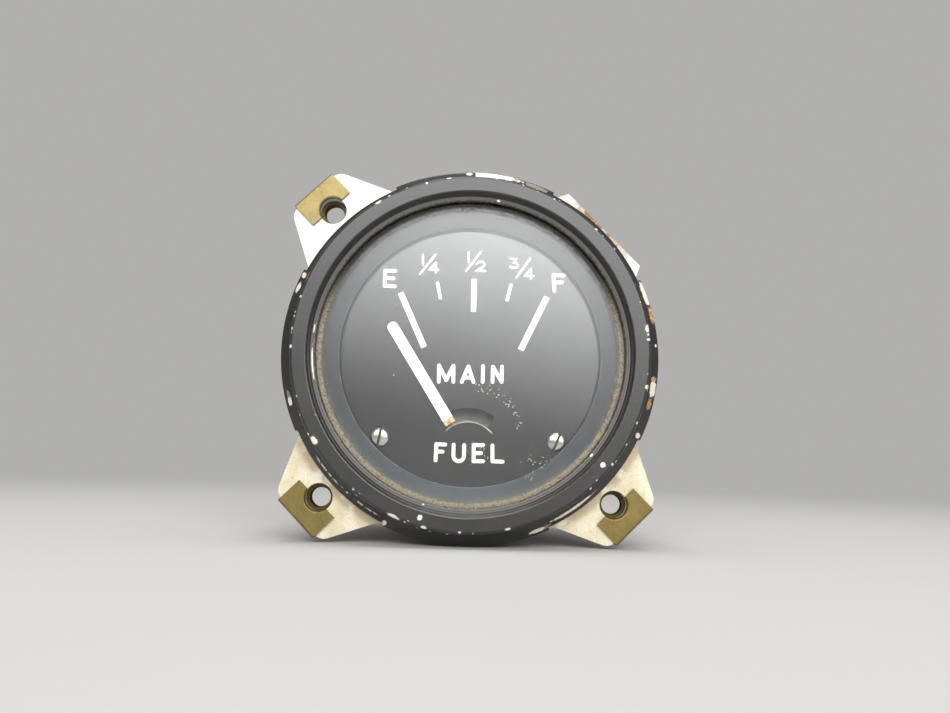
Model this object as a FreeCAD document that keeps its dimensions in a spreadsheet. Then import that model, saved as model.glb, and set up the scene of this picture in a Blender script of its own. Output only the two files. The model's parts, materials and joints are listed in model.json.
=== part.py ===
import FreeCAD, Part
import math
import os
import re

import Sketcher

# Panel fuel gauge of the standard 2 1/4 inch size, in millimetres.
# The dial faces -Y and +Z is up. The origin lies on the axis of the bezel, in the plane of the
# ears' front face, which seats against the back of an instrument panel.
#
# Every piece is drawn as on the workshop drawing of the face: x to the right, y up and z towards
# the viewer. FACE turns that drawing upright, so z in the drawing becomes -Y of the part.

Vector = FreeCAD.Vector
Rotation = FreeCAD.Rotation
FACE = FreeCAD.Placement(Vector(0, 0, 0), Rotation(Vector(1, 0, 0), 90))

SIZES = {
    # bezel, from its face back to the crimp behind the flange
    "bezel_radius": 30.65,
    "wall_radius": 28.45,
    "wall_inner_radius": 27.8,
    "face_height": 5.6,
    "face_inner_radius": 25.9,
    "opening_radius": 24.55,
    "opening_height": 4.5,
    "lip_radius": 25.3,
    "lip_height": 4.6,
    "shoulder_round": 0.5,
    "face_round": 0.3,
    "lip_round": 0.3,
    "skirt_root_height": 2.0,
    "skirt_radius": 30.3,
    "skirt_height": 0.8,
    "tab_height": 1.2,
    "tab_inner_radius": 29.9,
    "tab_round": 0.3,
    "tab_angle": 51.0,
    "crimp_radius": 28.9,
    "crimp_thickness": 0.8,
    # glass and what holds it off the dial
    "gasket_thickness": 0.4,
    "gasket_inner_radius": 25.2,
    "glass_thickness": 2.0,
    "glass_radius": 27.4,
    "reflector_height": 1.5,
    "reflector_mouth": 24.3,
    "reflector_throat": 21.42,
    "reflector_depth": 0.7,
    "reflector_wall": 0.5,
    "reflector_edge": 0.7,
    "reflector_skirt": 27.7,
    # mounting flange with its four ears, one of them cut short
    "flange_radius": 29.8,
    "flange_opening": 26.9,
    "flange_thickness": 1.6,
    "hole_circle": 33.34,
    "ear_hole": 2.25,
    "ear_root_reach": 24.0,
    "ear_root_half": 8.2,
    "ear_neck_reach": 28.4,
    "ear_neck_half": 9.75,
    "ear_tip_reach": 37.7,
    "ear_tip_half": 5.2,
    "ear_round": 2.0,
    "short_ear_reach": 30.9,
    "short_ear_half": 8.5,
    # spring clip with a threaded collar, pushed over an ear
    "clip_width": 8.2,
    "clip_metal": 0.5,
    "clip_gap": 0.1,
    "clip_front_reach": 33.7,
    "clip_back_reach": 30.5,
    "clip_relief": 2.12,
    "relief_round": 0.4,
    "clip_bend": 0.45,
    "collar_radius": 2.3,
    "collar_length": 1.5,
    "thread_bore": 1.7,
    # drawn case
    "case_radius": 27.2,
    "case_wall": 0.6,
    "case_depth": 38.0,
    "case_round": 2.2,
    "case_rim_radius": 29.6,
    "case_rim_thickness": 0.8,
    "case_gasket_thickness": 0.6,
    # dial, with the pivot of the pointer below its centre
    "dial_radius": 24.0,
    "dial_face": 1.9,
    "dial_thickness": 0.8,
    "pivot_drop": 15.9,
    "slot_inner": 5.1,
    "slot_outer": 7.3,
    "slot_left": 42.3,
    "slot_right": 36.3,
    "slot_round": 0.6,
    "cut_margin": 1.0,
    "dial_screw_x": 14.4,
    "dial_screw_drop": 13.8,
    "dial_screw_head": 1.55,
    "dial_screw_height": 0.9,
    "dial_screw_round": 0.63,
    "dial_screw_shank": 0.9,
    "dial_screw_reach": 1.8,
    "dial_tap_depth": 2.0,
    # pointer, one bent strip whose blade stands in front of the dial
    "pointer_length": 24.8,
    "pointer_width": 1.8,
    "pointer_neck": 1.3,
    "pointer_metal": 0.4,
    "pointer_tip_round": 0.85,
    "pointer_face": 0.9,
    "pointer_step": 5.45,
    "pointer_arm_face": 3.9,
    "pointer_tail": 6.2,
    "pointer_lean": 32.5,
    "pointer_swing": 59.0,
    "hub_radius": 1.9,
    "hub_length": 1.3,
    "hub_rise": 0.2,
    "staff_radius": 0.8,
    "staff_play": 0.03,
    "staff_length": 19.6,
    "staff_rise": 0.6,
    "weight_radius": 1.5,
    "weight_reach": 4.9,
    "weight_length": 0.7,
    # movement plate and the posts on both sides of it
    "plate_face": 6.2,
    "plate_thickness": 1.2,
    "plate_radius": 24.5,
    "dial_post_radius": 2.0,
    "stop_pin_radius": 0.6,
    "stop_pin_reach": 4.2,
    "stop_pin_face": 3.3,
    "stop_gap": 0.12,
    "back_post_radius": 2.1,
    "back_post_x": 13.5,
    "back_post_rise": 13.5,
    "back_post_drop": 22.8,
    "screw_shank": 1.2,
    "screw_head": 2.1,
    "screw_head_height": 1.0,
    "screw_reach": 4.5,
    "tap_depth": 5.0,
    "case_screw_head": 2.7,
    "bushing_radius": 2.0,
    "bushing_flange": 2.8,
    "bushing_collar": 0.6,
    "bridge_face": 21.3,
    "bridge_thickness": 1.2,
    "bridge_half_length": 15.5,
    "bridge_half_width": 3.4,
    "bridge_round": 3.3,
    "bridge_post_x": 12.3,
    "bridge_post_drop": 1.0,
    "bridge_post_radius": 1.8,
    # two coils that look at the armature from either side of the upright
    "coil_lean": 45.0,
    "coil_plane": 14.0,
    "armature_radius": 4.5,
    "armature_half_width": 2.3,
    "armature_thickness": 3.0,
    "pole_gap_radius": 5.3,
    "core_radius": 2.2,
    "core_reach": 21.5,
    "bobbin_near": 7.5,
    "bobbin_far": 20.5,
    "bobbin_flange": 6.0,
    "bobbin_wall": 0.7,
    "winding_radius": 5.4,
    "bracket_metal": 1.3,
    "bracket_half_width": 4.5,
    "bracket_drop": 5.0,
    "bracket_foot": 5.6,
    "rivet_radius": 0.9,
    "rivet_head": 1.7,
    "rivet_head_height": 0.6,
    # calibrating resistor on a fibre card
    "card_half_length": 10.4,
    "card_half_height": 4.0,
    "card_rise": 14.0,
    "card_face": 11.4,
    "card_thickness": 1.2,
    "card_post_x": 8.8,
    "card_post_radius": 1.0,
    "resistor_half_length": 6.6,
    "resistor_wrap": 0.6,
    # terminals through the back of the case
    "terminal_x": 9.5,
    "stud_radius": 2.4,
    "stud_head_radius": 4.2,
    "stud_head_height": 1.5,
    "stud_end": 52.0,
    "stud_chamfer": 0.4,
    "thread_radius": 2.2,
    "insulator_bore": 2.42,
    "insulator_sleeve": 3.6,
    "insulator_radius": 5.4,
    "insulator_thickness": 1.0,
    "washer_thickness": 1.4,
    "nut_corner": 5.5,
    "nut_height": 3.2,
    "lock_washer_radius": 4.6,
    "lock_washer_thickness": 0.9,
    "lead_radius": 0.5,
    "lead_bend": 3.0,
    "lead_inlet": 0.012,
}

document = FreeCAD.newDocument("fuel_gauge")
sheet = document.addObject("Spreadsheet::Sheet", "sizes")
for row, (alias, size) in enumerate(SIZES.items(), start=1):
    sheet.set(f"A{row}", alias)
    sheet.set(f"B{row}", str(size))
    sheet.setAlias(f"B{row}", alias)
document.recompute()

pieces = []

# How far an edge may lie from where it is looked for, and how nearly upright it must stand
NEAR = 0.01
UPRIGHT = 0.999


def bind(text):
    """A formula on names of sizes, with each name pointing at its cell."""
    return re.sub(r"\b[a-z]\w*\b(?!\()", lambda word: "sizes." + word.group(), text)


def measure(text):
    """The number that a formula on names of sizes comes to."""
    return float(sheet.evalExpression(bind(text)))


def new_piece(label):
    """An empty body whose finished shape becomes one node."""
    body = document.addObject("PartDesign::Body", label)
    body.Label = label
    body.AllowCompound = True
    pieces.append(body)
    return body


def place(piece, x="0", y="0", z="0", turn=None):
    """Set a piece into the gauge: a spot on the face drawing and a turn about its own origin."""
    piece.Placement = FACE.multiply(FreeCAD.Placement(Vector(0, 0, 0), turn or Rotation()))
    piece.setExpression("Placement.Base.x", bind(x))
    piece.setExpression("Placement.Base.y", bind(f"0 - ({z})"))
    piece.setExpression("Placement.Base.z", bind(y))


def sketch_on(body, plane_role, name, lift="0", turn=0.0):
    """A sketch on one of the body's own planes, lifted along its normal or turned in it."""
    sketch = body.newObject("Sketcher::SketchObject", name)
    plane = next(item for item in body.Origin.OriginFeatures if item.Role == plane_role)
    sketch.AttachmentSupport = (plane, "")
    sketch.MapMode = "FlatFace"
    sketch.AttachmentOffset = FreeCAD.Placement(Vector(0, 0, 0), Rotation(Vector(0, 0, 1), turn))
    sketch.setExpression("AttachmentOffset.Base.z", bind(lift))
    return sketch


def hold(sketch, geometry, point, x, y):
    """Hold one point of a sketch at the two sizes x and y from the sketch's origin."""
    for kind, text, axis in (("DistanceX", x, -2), ("DistanceY", y, -1)):
        if text == "0":
            sketch.addConstraint(Sketcher.Constraint("PointOnObject", geometry, point, axis))
            continue
        distance = Sketcher.Constraint(kind, -1, 1, geometry, point, measure(text))
        index = sketch.addConstraint(distance)
        sketch.setExpression(f"Constraints[{index}]", bind(text))


def draw_outline(sketch, corners):
    """A closed outline of straight lines through the corners."""
    first = sketch.GeometryCount
    points = [Vector(measure(x), measure(y), 0) for x, y in corners]
    following = points[1:] + points[:1]
    for start, end in zip(points, following):
        sketch.addGeometry(Part.LineSegment(start, end), False)
    for index in range(len(points)):
        after = first + (index + 1) % len(points)
        sketch.addConstraint(Sketcher.Constraint("Coincident", first + index, 2, after, 1))
    for index, (x, y) in enumerate(corners):
        hold(sketch, first + index, 1, x, y)


def draw_circle(sketch, radius, x="0", y="0"):
    """A circle held by its radius and its centre."""
    centre = Vector(measure(x), measure(y), 0)
    circle = Part.Circle(centre, Vector(0, 0, 1), measure(radius))
    index = sketch.addGeometry(circle, False)
    size = sketch.addConstraint(Sketcher.Constraint("Radius", index, measure(radius)))
    sketch.setExpression(f"Constraints[{size}]", bind(radius))
    hold(sketch, index, 3, x, y)


def add_feature(kind, sketch, length=None, backwards=False, both_ways=False):
    """A pad or pocket of a sketch, along the drawing's z unless it runs backwards."""
    body = sketch.getParentGeoFeatureGroup()
    feature = body.newObject("PartDesign::" + kind, sketch.Name + "_" + kind.lower())
    feature.Profile = sketch
    feature.setExpression("Length", bind(length))
    feature.Reversed = backwards
    feature.Midplane = both_ways
    return feature


def turn_profile(sketch, kind="Revolution", angle=None):
    """A sketch turned about its own upright axis, all round or by an angle to both sides."""
    body = sketch.getParentGeoFeatureGroup()
    feature = body.newObject("PartDesign::" + kind, sketch.Name + "_turned")
    feature.Profile = sketch
    feature.ReferenceAxis = (sketch, ["V_Axis"])
    feature.Angle = 360
    if angle:
        feature.Midplane = True
        feature.setExpression("Angle", bind(angle))
    return feature


def repeat_round(body, features, occurrences, angle=360):
    """Features repeated about the body's upright axis."""
    pattern = body.newObject("PartDesign::PolarPattern", features[0].Name + "_round")
    axis = next(item for item in body.Origin.OriginFeatures if item.Role == "Z_Axis")
    pattern.Originals = features
    pattern.Axis = (axis, [""])
    pattern.Angle = angle
    pattern.Occurrences = occurrences
    body.Tip = pattern
    return pattern


def mirror_sideways(body, features):
    """Features repeated on the other side of the body's upright plane."""
    mirror = body.newObject("PartDesign::Mirrored", features[0].Name + "_mirrored")
    plane = next(item for item in body.Origin.OriginFeatures if item.Role == "YZ_Plane")
    mirror.Originals = features
    mirror.MirrorPlane = (plane, [""])
    body.Tip = mirror
    return mirror


def round_edges(body, radius, chosen):
    """Round the edges of the body so far for which chosen(edge) holds."""
    document.recompute()
    base = body.Tip
    edges = [f"Edge{index}" for index, edge in enumerate(base.Shape.Edges, start=1) if chosen(edge)]
    if not edges:
        raise RuntimeError("no edge to round on " + body.Label)
    fillet = body.newObject("PartDesign::Fillet", base.Name + "_rounded")
    fillet.Base = (base, edges)
    fillet.setExpression("Radius", bind(radius))
    body.Tip = fillet
    return fillet


def ring_edge(radius, height):
    """A test for arcs of one radius about the upright axis at one height."""
    wanted_radius = measure(radius)
    wanted_height = measure(height)

    def chosen(edge):
        if not isinstance(edge.Curve, Part.Circle):
            return False
        same_radius = abs(edge.Curve.Radius - wanted_radius) < NEAR
        return same_radius and abs(edge.Curve.Center.z - wanted_height) < NEAR

    return chosen


def upright_edge(test):
    """A test for straight edges along z whose middle passes the test."""

    def chosen(edge):
        if not isinstance(edge.Curve, Part.Line) or abs(edge.Curve.Direction.z) < UPRIGHT:
            return False
        return test(edge.CenterOfMass)

    return chosen


def turned_piece(label, corners):
    """A piece whose whole form is one profile of radius and height turned about its axis."""
    body = new_piece(label)
    sketch = sketch_on(body, "XZ_Plane", label + "_profile")
    draw_outline(sketch, corners)
    turn_profile(sketch)
    return body


def ring_corners(inner, outer, low, high):
    """The four corners of a plain ring's section."""
    return [(inner, low), (outer, low), (outer, high), (inner, high)]


def stepped_piece(label, steps, x="0", y="0"):
    """A piece of round steps about one upright axis; a step is its bore, radius, low and high."""
    body = new_piece(label)
    pads = []
    for index, (bore, radius, low, high) in enumerate(steps):
        sketch = sketch_on(body, "XY_Plane", f"{label}_step_{index}", low)
        draw_circle(sketch, radius, x, y)
        if bore != "0":
            draw_circle(sketch, bore, x, y)
        pads.append(add_feature("Pad", sketch, f"({high}) - ({low})"))
    return body, pads


def stepped_pair(label, steps, x, y="0"):
    """Two equal stepped pieces, one on each side of the upright plane."""
    body, pads = stepped_piece(label, steps, x, y)
    mirror_sideways(body, pads)
    return body


def stepped_triple(label, steps):
    """Three equal stepped pieces at the back posts: two high ones and one in the middle below."""
    body, pads = stepped_piece(label, steps, "back_post_x", "back_post_rise")
    mirror_sideways(body, pads)
    for index, (bore, radius, low, high) in enumerate(steps):
        lowest = sketch_on(body, "XY_Plane", f"{label}_lowest_{index}", low)
        draw_circle(lowest, radius, "0", "0 - back_post_drop")
        if bore != "0":
            draw_circle(lowest, bore, "0", "0 - back_post_drop")
        add_feature("Pad", lowest, f"({high}) - ({low})")
    return body


# Heights of the stack of pieces behind the glass, and of the faces of the movement
RIM_FACE = "0 - flange_thickness - case_gasket_thickness"
RIM_BACK = RIM_FACE + " - case_rim_thickness"
CRIMP_BACK = RIM_BACK + " - crimp_thickness"
GLASS_BACK = "reflector_height"
GLASS_FACE = GLASS_BACK + " + glass_thickness"
LIP_BACK = GLASS_FACE + " + gasket_thickness"
DIAL_BACK = "0 - dial_face - dial_thickness"
PLATE_FACE = "0 - plate_face"
PLATE_BACK = "0 - plate_face - plate_thickness"
BRIDGE_FACE = "0 - bridge_face"
BRIDGE_BACK = "0 - bridge_face - bridge_thickness"
CASE_FLOOR = "case_wall - case_depth"
CASE_BACK = "0 - case_depth"
PIVOT = "0 - pivot_drop"


def make_bezel():
    """Spun ring over the glass with a flared skirt, held by four tabs that fold round the flange."""
    body = new_piece("bezel")
    ring = sketch_on(body, "XZ_Plane", "bezel_ring")
    ring_profile = [
        ("opening_radius", LIP_BACK),
        ("opening_radius", "opening_height"),
        ("lip_radius", "lip_height"),
        ("face_inner_radius", "face_height"),
        ("wall_radius", "face_height"),
        ("wall_radius", "skirt_root_height"),
        ("skirt_radius", "skirt_height"),
        ("skirt_radius", "0"),
        ("wall_inner_radius", "0"),
        ("wall_inner_radius", LIP_BACK),
    ]
    draw_outline(ring, ring_profile)
    turn_profile(ring)
    tab = sketch_on(body, "XZ_Plane", "bezel_tab")
    tab_profile = [
        ("wall_inner_radius", "0"),
        ("wall_inner_radius", "skirt_root_height"),
        ("wall_radius", "skirt_root_height"),
        ("bezel_radius", "tab_height"),
        ("bezel_radius", CRIMP_BACK),
        ("crimp_radius", CRIMP_BACK),
        ("crimp_radius", RIM_BACK),
        ("tab_inner_radius", RIM_BACK),
        ("tab_inner_radius", "0"),
    ]
    draw_outline(tab, tab_profile)
    repeat_round(body, [turn_profile(tab, angle="tab_angle")], 4)
    round_edges(body, "shoulder_round", ring_edge("wall_radius", "face_height"))
    round_edges(body, "face_round", ring_edge("face_inner_radius", "face_height"))
    round_edges(body, "tab_round", ring_edge("bezel_radius", "tab_height"))
    round_edges(body, "lip_round", ring_edge("opening_radius", "opening_height"))
    place(body)


def make_glass_and_reflector():
    """Rubber ring, flat glass and the dark conical ring that frames the dial."""
    gasket_corners = ring_corners("gasket_inner_radius", "glass_radius", GLASS_FACE, LIP_BACK)
    gasket = turned_piece("glass_gasket", gasket_corners)
    glass = turned_piece("cover_glass", ring_corners("0", "glass_radius", GLASS_BACK, GLASS_FACE))
    cone_depth = "0 - reflector_depth"
    reflector_corners = [
        ("reflector_skirt", "reflector_height"),
        ("reflector_mouth", "reflector_height"),
        ("reflector_throat", cone_depth),
        ("reflector_throat + reflector_edge", cone_depth),
        ("reflector_mouth + reflector_wall", "reflector_height - reflector_wall"),
        ("reflector_skirt - reflector_wall", "reflector_height - reflector_wall"),
        ("reflector_skirt - reflector_wall", "0"),
        ("reflector_skirt", "0"),
    ]
    reflector = turned_piece("reflector_ring", reflector_corners)
    for piece in (gasket, glass, reflector):
        place(piece)


def make_flange():
    """Flat plate with three drilled ears on the diagonals and a fourth cut off by a chord."""
    body = new_piece("mounting_flange")
    disc = sketch_on(body, "XY_Plane", "flange_disc")
    draw_circle(disc, "flange_radius")
    add_feature("Pad", disc, "flange_thickness", backwards=True)
    ear = sketch_on(body, "XY_Plane", "flange_ear", turn=135)
    draw_outline(ear, ear_corners("ear_tip_reach", "ear_tip_half"))
    whole_ear = add_feature("Pad", ear, "flange_thickness", backwards=True)
    hole = sketch_on(body, "XY_Plane", "flange_hole", turn=135)
    draw_circle(hole, "ear_hole", "hole_circle")
    drilled = add_feature("Pocket", hole, "flange_thickness")
    repeat_round(body, [whole_ear, drilled], 3, angle=180)
    short = sketch_on(body, "XY_Plane", "flange_short_ear", turn=45)
    draw_outline(short, ear_corners("short_ear_reach", "short_ear_half"))
    add_feature("Pad", short, "flange_thickness", backwards=True)
    opening = sketch_on(body, "XY_Plane", "flange_middle")
    draw_circle(opening, "flange_opening")
    add_feature("Pocket", opening, "flange_thickness")
    tip_distance = math.hypot(measure("ear_tip_reach"), measure("ear_tip_half")) - NEAR
    round_edges(body, "ear_round", upright_edge(lambda spot: math.hypot(spot.x, spot.y) > tip_distance))
    place(body)


def ear_corners(reach, half_width):
    """An ear drawn outwards along x, widening inside the disc and tapering outside it."""
    return [
        ("ear_root_reach", "0 - ear_root_half"),
        ("ear_neck_reach", "0 - ear_neck_half"),
        (reach, f"0 - {half_width}"),
        (reach, half_width),
        ("ear_neck_reach", "ear_neck_half"),
        ("ear_root_reach", "ear_root_half"),
    ]


def relief_rim(edge):
    """The front rim of the hollow in a clip's front leaf, which is rolled in."""
    box = edge.BoundBox
    curved = hasattr(edge.Curve, "Radius") and abs(edge.Curve.Radius - measure("clip_relief")) < NEAR
    return curved and box.ZLength < NEAR and abs(box.ZMax - measure("clip_metal")) < NEAR


def make_clip(corner, bearing):
    """Sheet clip folded over one ear, with a threaded collar drawn from its back leaf."""
    body = new_piece("clip_nut_" + corner)
    inside = "ear_tip_reach + clip_gap"
    outside = inside + " + clip_metal"
    back_face = "0 - flange_thickness"
    fold = sketch_on(body, "XZ_Plane", corner + "_fold")
    fold_corners = [
        ("clip_front_reach", "0"),
        ("clip_front_reach", "clip_metal"),
        (outside, "clip_metal"),
        (outside, back_face + " - clip_metal"),
        ("clip_back_reach", back_face + " - clip_metal"),
        ("clip_back_reach", back_face),
        (inside, back_face),
        (inside, "0"),
    ]
    draw_outline(fold, fold_corners)
    add_feature("Pad", fold, "clip_width", both_ways=True)
    far = measure(outside) - NEAR
    round_edges(body, "clip_bend", lambda edge: edge.BoundBox.XMin > far and edge.BoundBox.ZLength < NEAR)
    collar = sketch_on(body, "XY_Plane", corner + "_collar", back_face + " - clip_metal")
    draw_circle(collar, "collar_radius", "hole_circle")
    add_feature("Pad", collar, "collar_length", backwards=True)
    thread = sketch_on(body, "XY_Plane", corner + "_thread", back_face)
    draw_circle(thread, "thread_bore", "hole_circle")
    add_feature("Pocket", thread, "clip_metal + collar_length")
    relief = sketch_on(body, "XY_Plane", corner + "_relief", "clip_metal")
    draw_circle(relief, "clip_relief", "hole_circle")
    add_feature("Pocket", relief, "clip_metal")
    round_edges(body, "relief_round", relief_rim)
    place(body, turn=Rotation(Vector(0, 0, 1), bearing))


def make_case():
    """Drawn can with a turned-out rim, closed at the back except for its screws and terminals."""
    gasket = turned_piece(
        "case_gasket",
        ring_corners("flange_opening", "case_rim_radius", RIM_FACE, "0 - flange_thickness"),
    )
    place(gasket)
    inner = "case_radius - case_wall"
    can_corners = [
        ("0", CASE_BACK),
        ("case_radius", CASE_BACK),
        ("case_radius", RIM_BACK),
        ("case_rim_radius", RIM_BACK),
        ("case_rim_radius", RIM_FACE),
        (inner, RIM_FACE),
        (inner, CASE_FLOOR),
        ("0", CASE_FLOOR),
    ]
    case = turned_piece("case_can", can_corners)
    round_edges(case, "case_round", ring_edge("case_radius", CASE_BACK))
    round_edges(case, "case_round - case_wall", ring_edge(inner, CASE_FLOOR))
    holes = sketch_on(case, "XY_Plane", "case_holes", CASE_FLOOR)
    for side in ("", "0 - "):
        draw_circle(holes, "insulator_sleeve", side + "terminal_x")
        draw_circle(holes, "screw_shank", side + "back_post_x", "back_post_rise")
    draw_circle(holes, "screw_shank", "0", "0 - back_post_drop")
    add_feature("Pocket", holes, "case_wall")
    place(case)


def make_dial():
    """Flat dial with the curved slot that the pointer comes through."""
    body = new_piece("dial_plate")
    disc = sketch_on(body, "XY_Plane", "dial_disc", "0 - dial_face")
    draw_circle(disc, "dial_radius", "0", "pivot_drop")
    add_feature("Pad", disc, "dial_thickness", backwards=True)
    holes = sketch_on(body, "XY_Plane", "dial_holes", "0 - dial_face")
    for side in ("", "0 - "):
        draw_circle(holes, "dial_screw_shank", side + "dial_screw_x", "pivot_drop - dial_screw_drop")
    add_feature("Pocket", holes, "dial_thickness")
    slot = sketch_on(body, "XZ_Plane", "dial_slot")
    middle_bearing = 90 + (measure("slot_left") - measure("slot_right")) / 2
    slot_turn = Rotation(Vector(0, 1, 0), middle_bearing)
    slot.AttachmentOffset = FreeCAD.Placement(Vector(0, 0, 0), slot_turn)
    below = DIAL_BACK + " - cut_margin"
    above = "cut_margin - dial_face"
    draw_outline(slot, ring_corners("slot_inner", "slot_outer", below, above))
    turn_profile(slot, "Groove", "slot_left + slot_right")
    slot_reach = measure("slot_outer") + NEAR
    round_edges(body, "slot_round", upright_edge(lambda spot: math.hypot(spot.x, spot.y) < slot_reach))
    place(body, y=PIVOT)


def make_pointer():
    """Strip that rises through the dial's slot, with its hub, its weight, its staff and the vane."""
    lean = Rotation(Vector(0, 0, 1), measure("pointer_lean"))
    blade_back = "0 - pointer_face - pointer_metal"
    arm_back = "0 - pointer_arm_face - pointer_metal"
    body = new_piece("pointer")
    strip = sketch_on(body, "YZ_Plane", "pointer_strip")
    strip_corners = [
        ("0 - pointer_tail", arm_back),
        ("pointer_step + pointer_metal", arm_back),
        ("pointer_step + pointer_metal", blade_back),
        ("pointer_length", blade_back),
        ("pointer_length", "0 - pointer_face"),
        ("pointer_step", "0 - pointer_face"),
        ("pointer_step", "0 - pointer_arm_face"),
        ("0 - pointer_tail", "0 - pointer_arm_face"),
    ]
    draw_outline(strip, strip_corners)
    add_feature("Pad", strip, "pointer_width", both_ways=True)
    neck = sketch_on(body, "XY_Plane", "pointer_neck", blade_back)
    for side in ("", "0 - "):
        neck_corners = [
            (side + "pointer_neck / 2", "hub_radius"),
            (side + "pointer_width", "hub_radius"),
            (side + "pointer_width", "pointer_step + cut_margin"),
            (side + "pointer_neck / 2", "pointer_step + cut_margin"),
        ]
        draw_outline(neck, neck_corners)
    add_feature("Pocket", neck, "pointer_arm_face")
    tip = measure("pointer_length") - NEAR
    round_edges(body, "pointer_tip_round", upright_edge(lambda spot: spot.y > tip))
    hub = sketch_on(body, "XY_Plane", "pointer_hub", "0 - pointer_arm_face + hub_rise")
    draw_circle(hub, "hub_radius")
    add_feature("Pad", hub, "hub_length + hub_rise", backwards=True)
    bore = sketch_on(body, "XY_Plane", "pointer_bore", "0")
    draw_circle(bore, "staff_radius")
    add_feature("Pocket", bore, "staff_length")
    place(body, y=PIVOT, turn=lean)

    weight_steps = [("0", "weight_radius", arm_back + " - weight_length", arm_back)]
    weight, _ = stepped_piece("balance_weight", weight_steps, "0", "0 - weight_reach")
    place(weight, y=PIVOT, turn=lean)

    staff_face = "0 - pointer_arm_face + staff_rise"
    staff_steps = [("0", "staff_radius", staff_face + " - staff_length", staff_face)]
    staff, _ = stepped_piece("pointer_staff", staff_steps)
    place(staff, y=PIVOT, turn=lean)

    vane = new_piece("armature")
    disc = sketch_on(vane, "XY_Plane", "armature_disc", "0 - coil_plane - armature_thickness / 2")
    draw_circle(disc, "armature_radius")
    draw_circle(disc, "staff_radius")
    add_feature("Pad", disc, "armature_thickness")
    flats = sketch_on(vane, "XY_Plane", "armature_flats", "0 - coil_plane + armature_thickness")
    for side in ("", "0 - "):
        flat_corners = [
            (side + "armature_half_width", "0 - armature_radius"),
            (side + "armature_radius", "0 - armature_radius"),
            (side + "armature_radius", "armature_radius"),
            (side + "armature_half_width", "armature_radius"),
        ]
        draw_outline(flats, flat_corners)
    add_feature("Pocket", flats, "armature_thickness * 2")
    place(vane, y=PIVOT, turn=lean)


def make_movement_plate():
    """Round plate that carries the movement, with its posts, its screws and the pointer's stops."""
    body = new_piece("movement_plate")
    disc = sketch_on(body, "XY_Plane", "plate_disc", PLATE_FACE)
    draw_circle(disc, "plate_radius")
    draw_circle(disc, "bushing_radius", "0", PIVOT)
    draw_circle(disc, "screw_shank", "0", "0 - back_post_drop")
    for side in ("", "0 - "):
        draw_circle(disc, "screw_shank", side + "back_post_x", "back_post_rise")
        draw_circle(disc, "rivet_radius", side + RIVET_X, RIVET_Y)
    add_feature("Pad", disc, "plate_thickness", backwards=True)
    place(body)

    dial_post_steps = [
        ("0", "dial_post_radius", PLATE_FACE, DIAL_BACK + " - dial_tap_depth"),
        ("dial_screw_shank", "dial_post_radius", DIAL_BACK + " - dial_tap_depth", DIAL_BACK),
    ]
    place(stepped_pair("dial_posts", dial_post_steps, "dial_screw_x", "0 - dial_screw_drop"))
    dial_screw_steps = [
        ("0", "dial_screw_shank", DIAL_BACK + " - dial_screw_reach", "0 - dial_face"),
        ("0", "dial_screw_head", "0 - dial_face", "dial_screw_height - dial_face"),
    ]
    screws = stepped_pair("dial_screws", dial_screw_steps, "dial_screw_x", "0 - dial_screw_drop")
    head_top = measure("dial_screw_height - dial_face")
    round_edges(screws, "dial_screw_round", lambda edge: edge.BoundBox.ZMin > head_top - NEAR)
    place(screws)

    pins = new_piece("stop_pins")
    clear_of_arm = measure("pointer_neck / 2 + stop_pin_radius + stop_gap")
    beyond = math.degrees(math.asin(clear_of_arm / measure("stop_pin_reach")))
    left_bearing = 90 + measure("pointer_lean") + beyond
    right_bearing = 90 + measure("pointer_lean - pointer_swing") - beyond
    for side, bearing in (("left", left_bearing), ("right", right_bearing)):
        pin = sketch_on(pins, "XY_Plane", side + "_pin", PLATE_FACE, turn=bearing)
        draw_circle(pin, "stop_pin_radius", "stop_pin_reach")
        add_feature("Pad", pin, "plate_face - stop_pin_face")
    place(pins, y=PIVOT)

    post_floor = CASE_FLOOR + " + tap_depth"
    post_head = PLATE_BACK + " - tap_depth"
    place(stepped_triple("back_posts", [
        ("screw_shank", "back_post_radius", CASE_FLOOR, post_floor),
        ("0", "back_post_radius", post_floor, post_head),
        ("screw_shank", "back_post_radius", post_head, PLATE_BACK),
    ]))
    place(stepped_triple("plate_screws", [
        ("0", "screw_shank", PLATE_BACK + " - screw_reach", PLATE_FACE),
        ("0", "screw_head", PLATE_FACE, PLATE_FACE + " + screw_head_height"),
    ]))
    place(stepped_triple("case_screws", [
        ("0", "case_screw_head", CASE_BACK + " - screw_head_height", CASE_BACK),
        ("0", "screw_shank", CASE_BACK, CASE_FLOOR + " + screw_reach"),
    ]))


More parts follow.
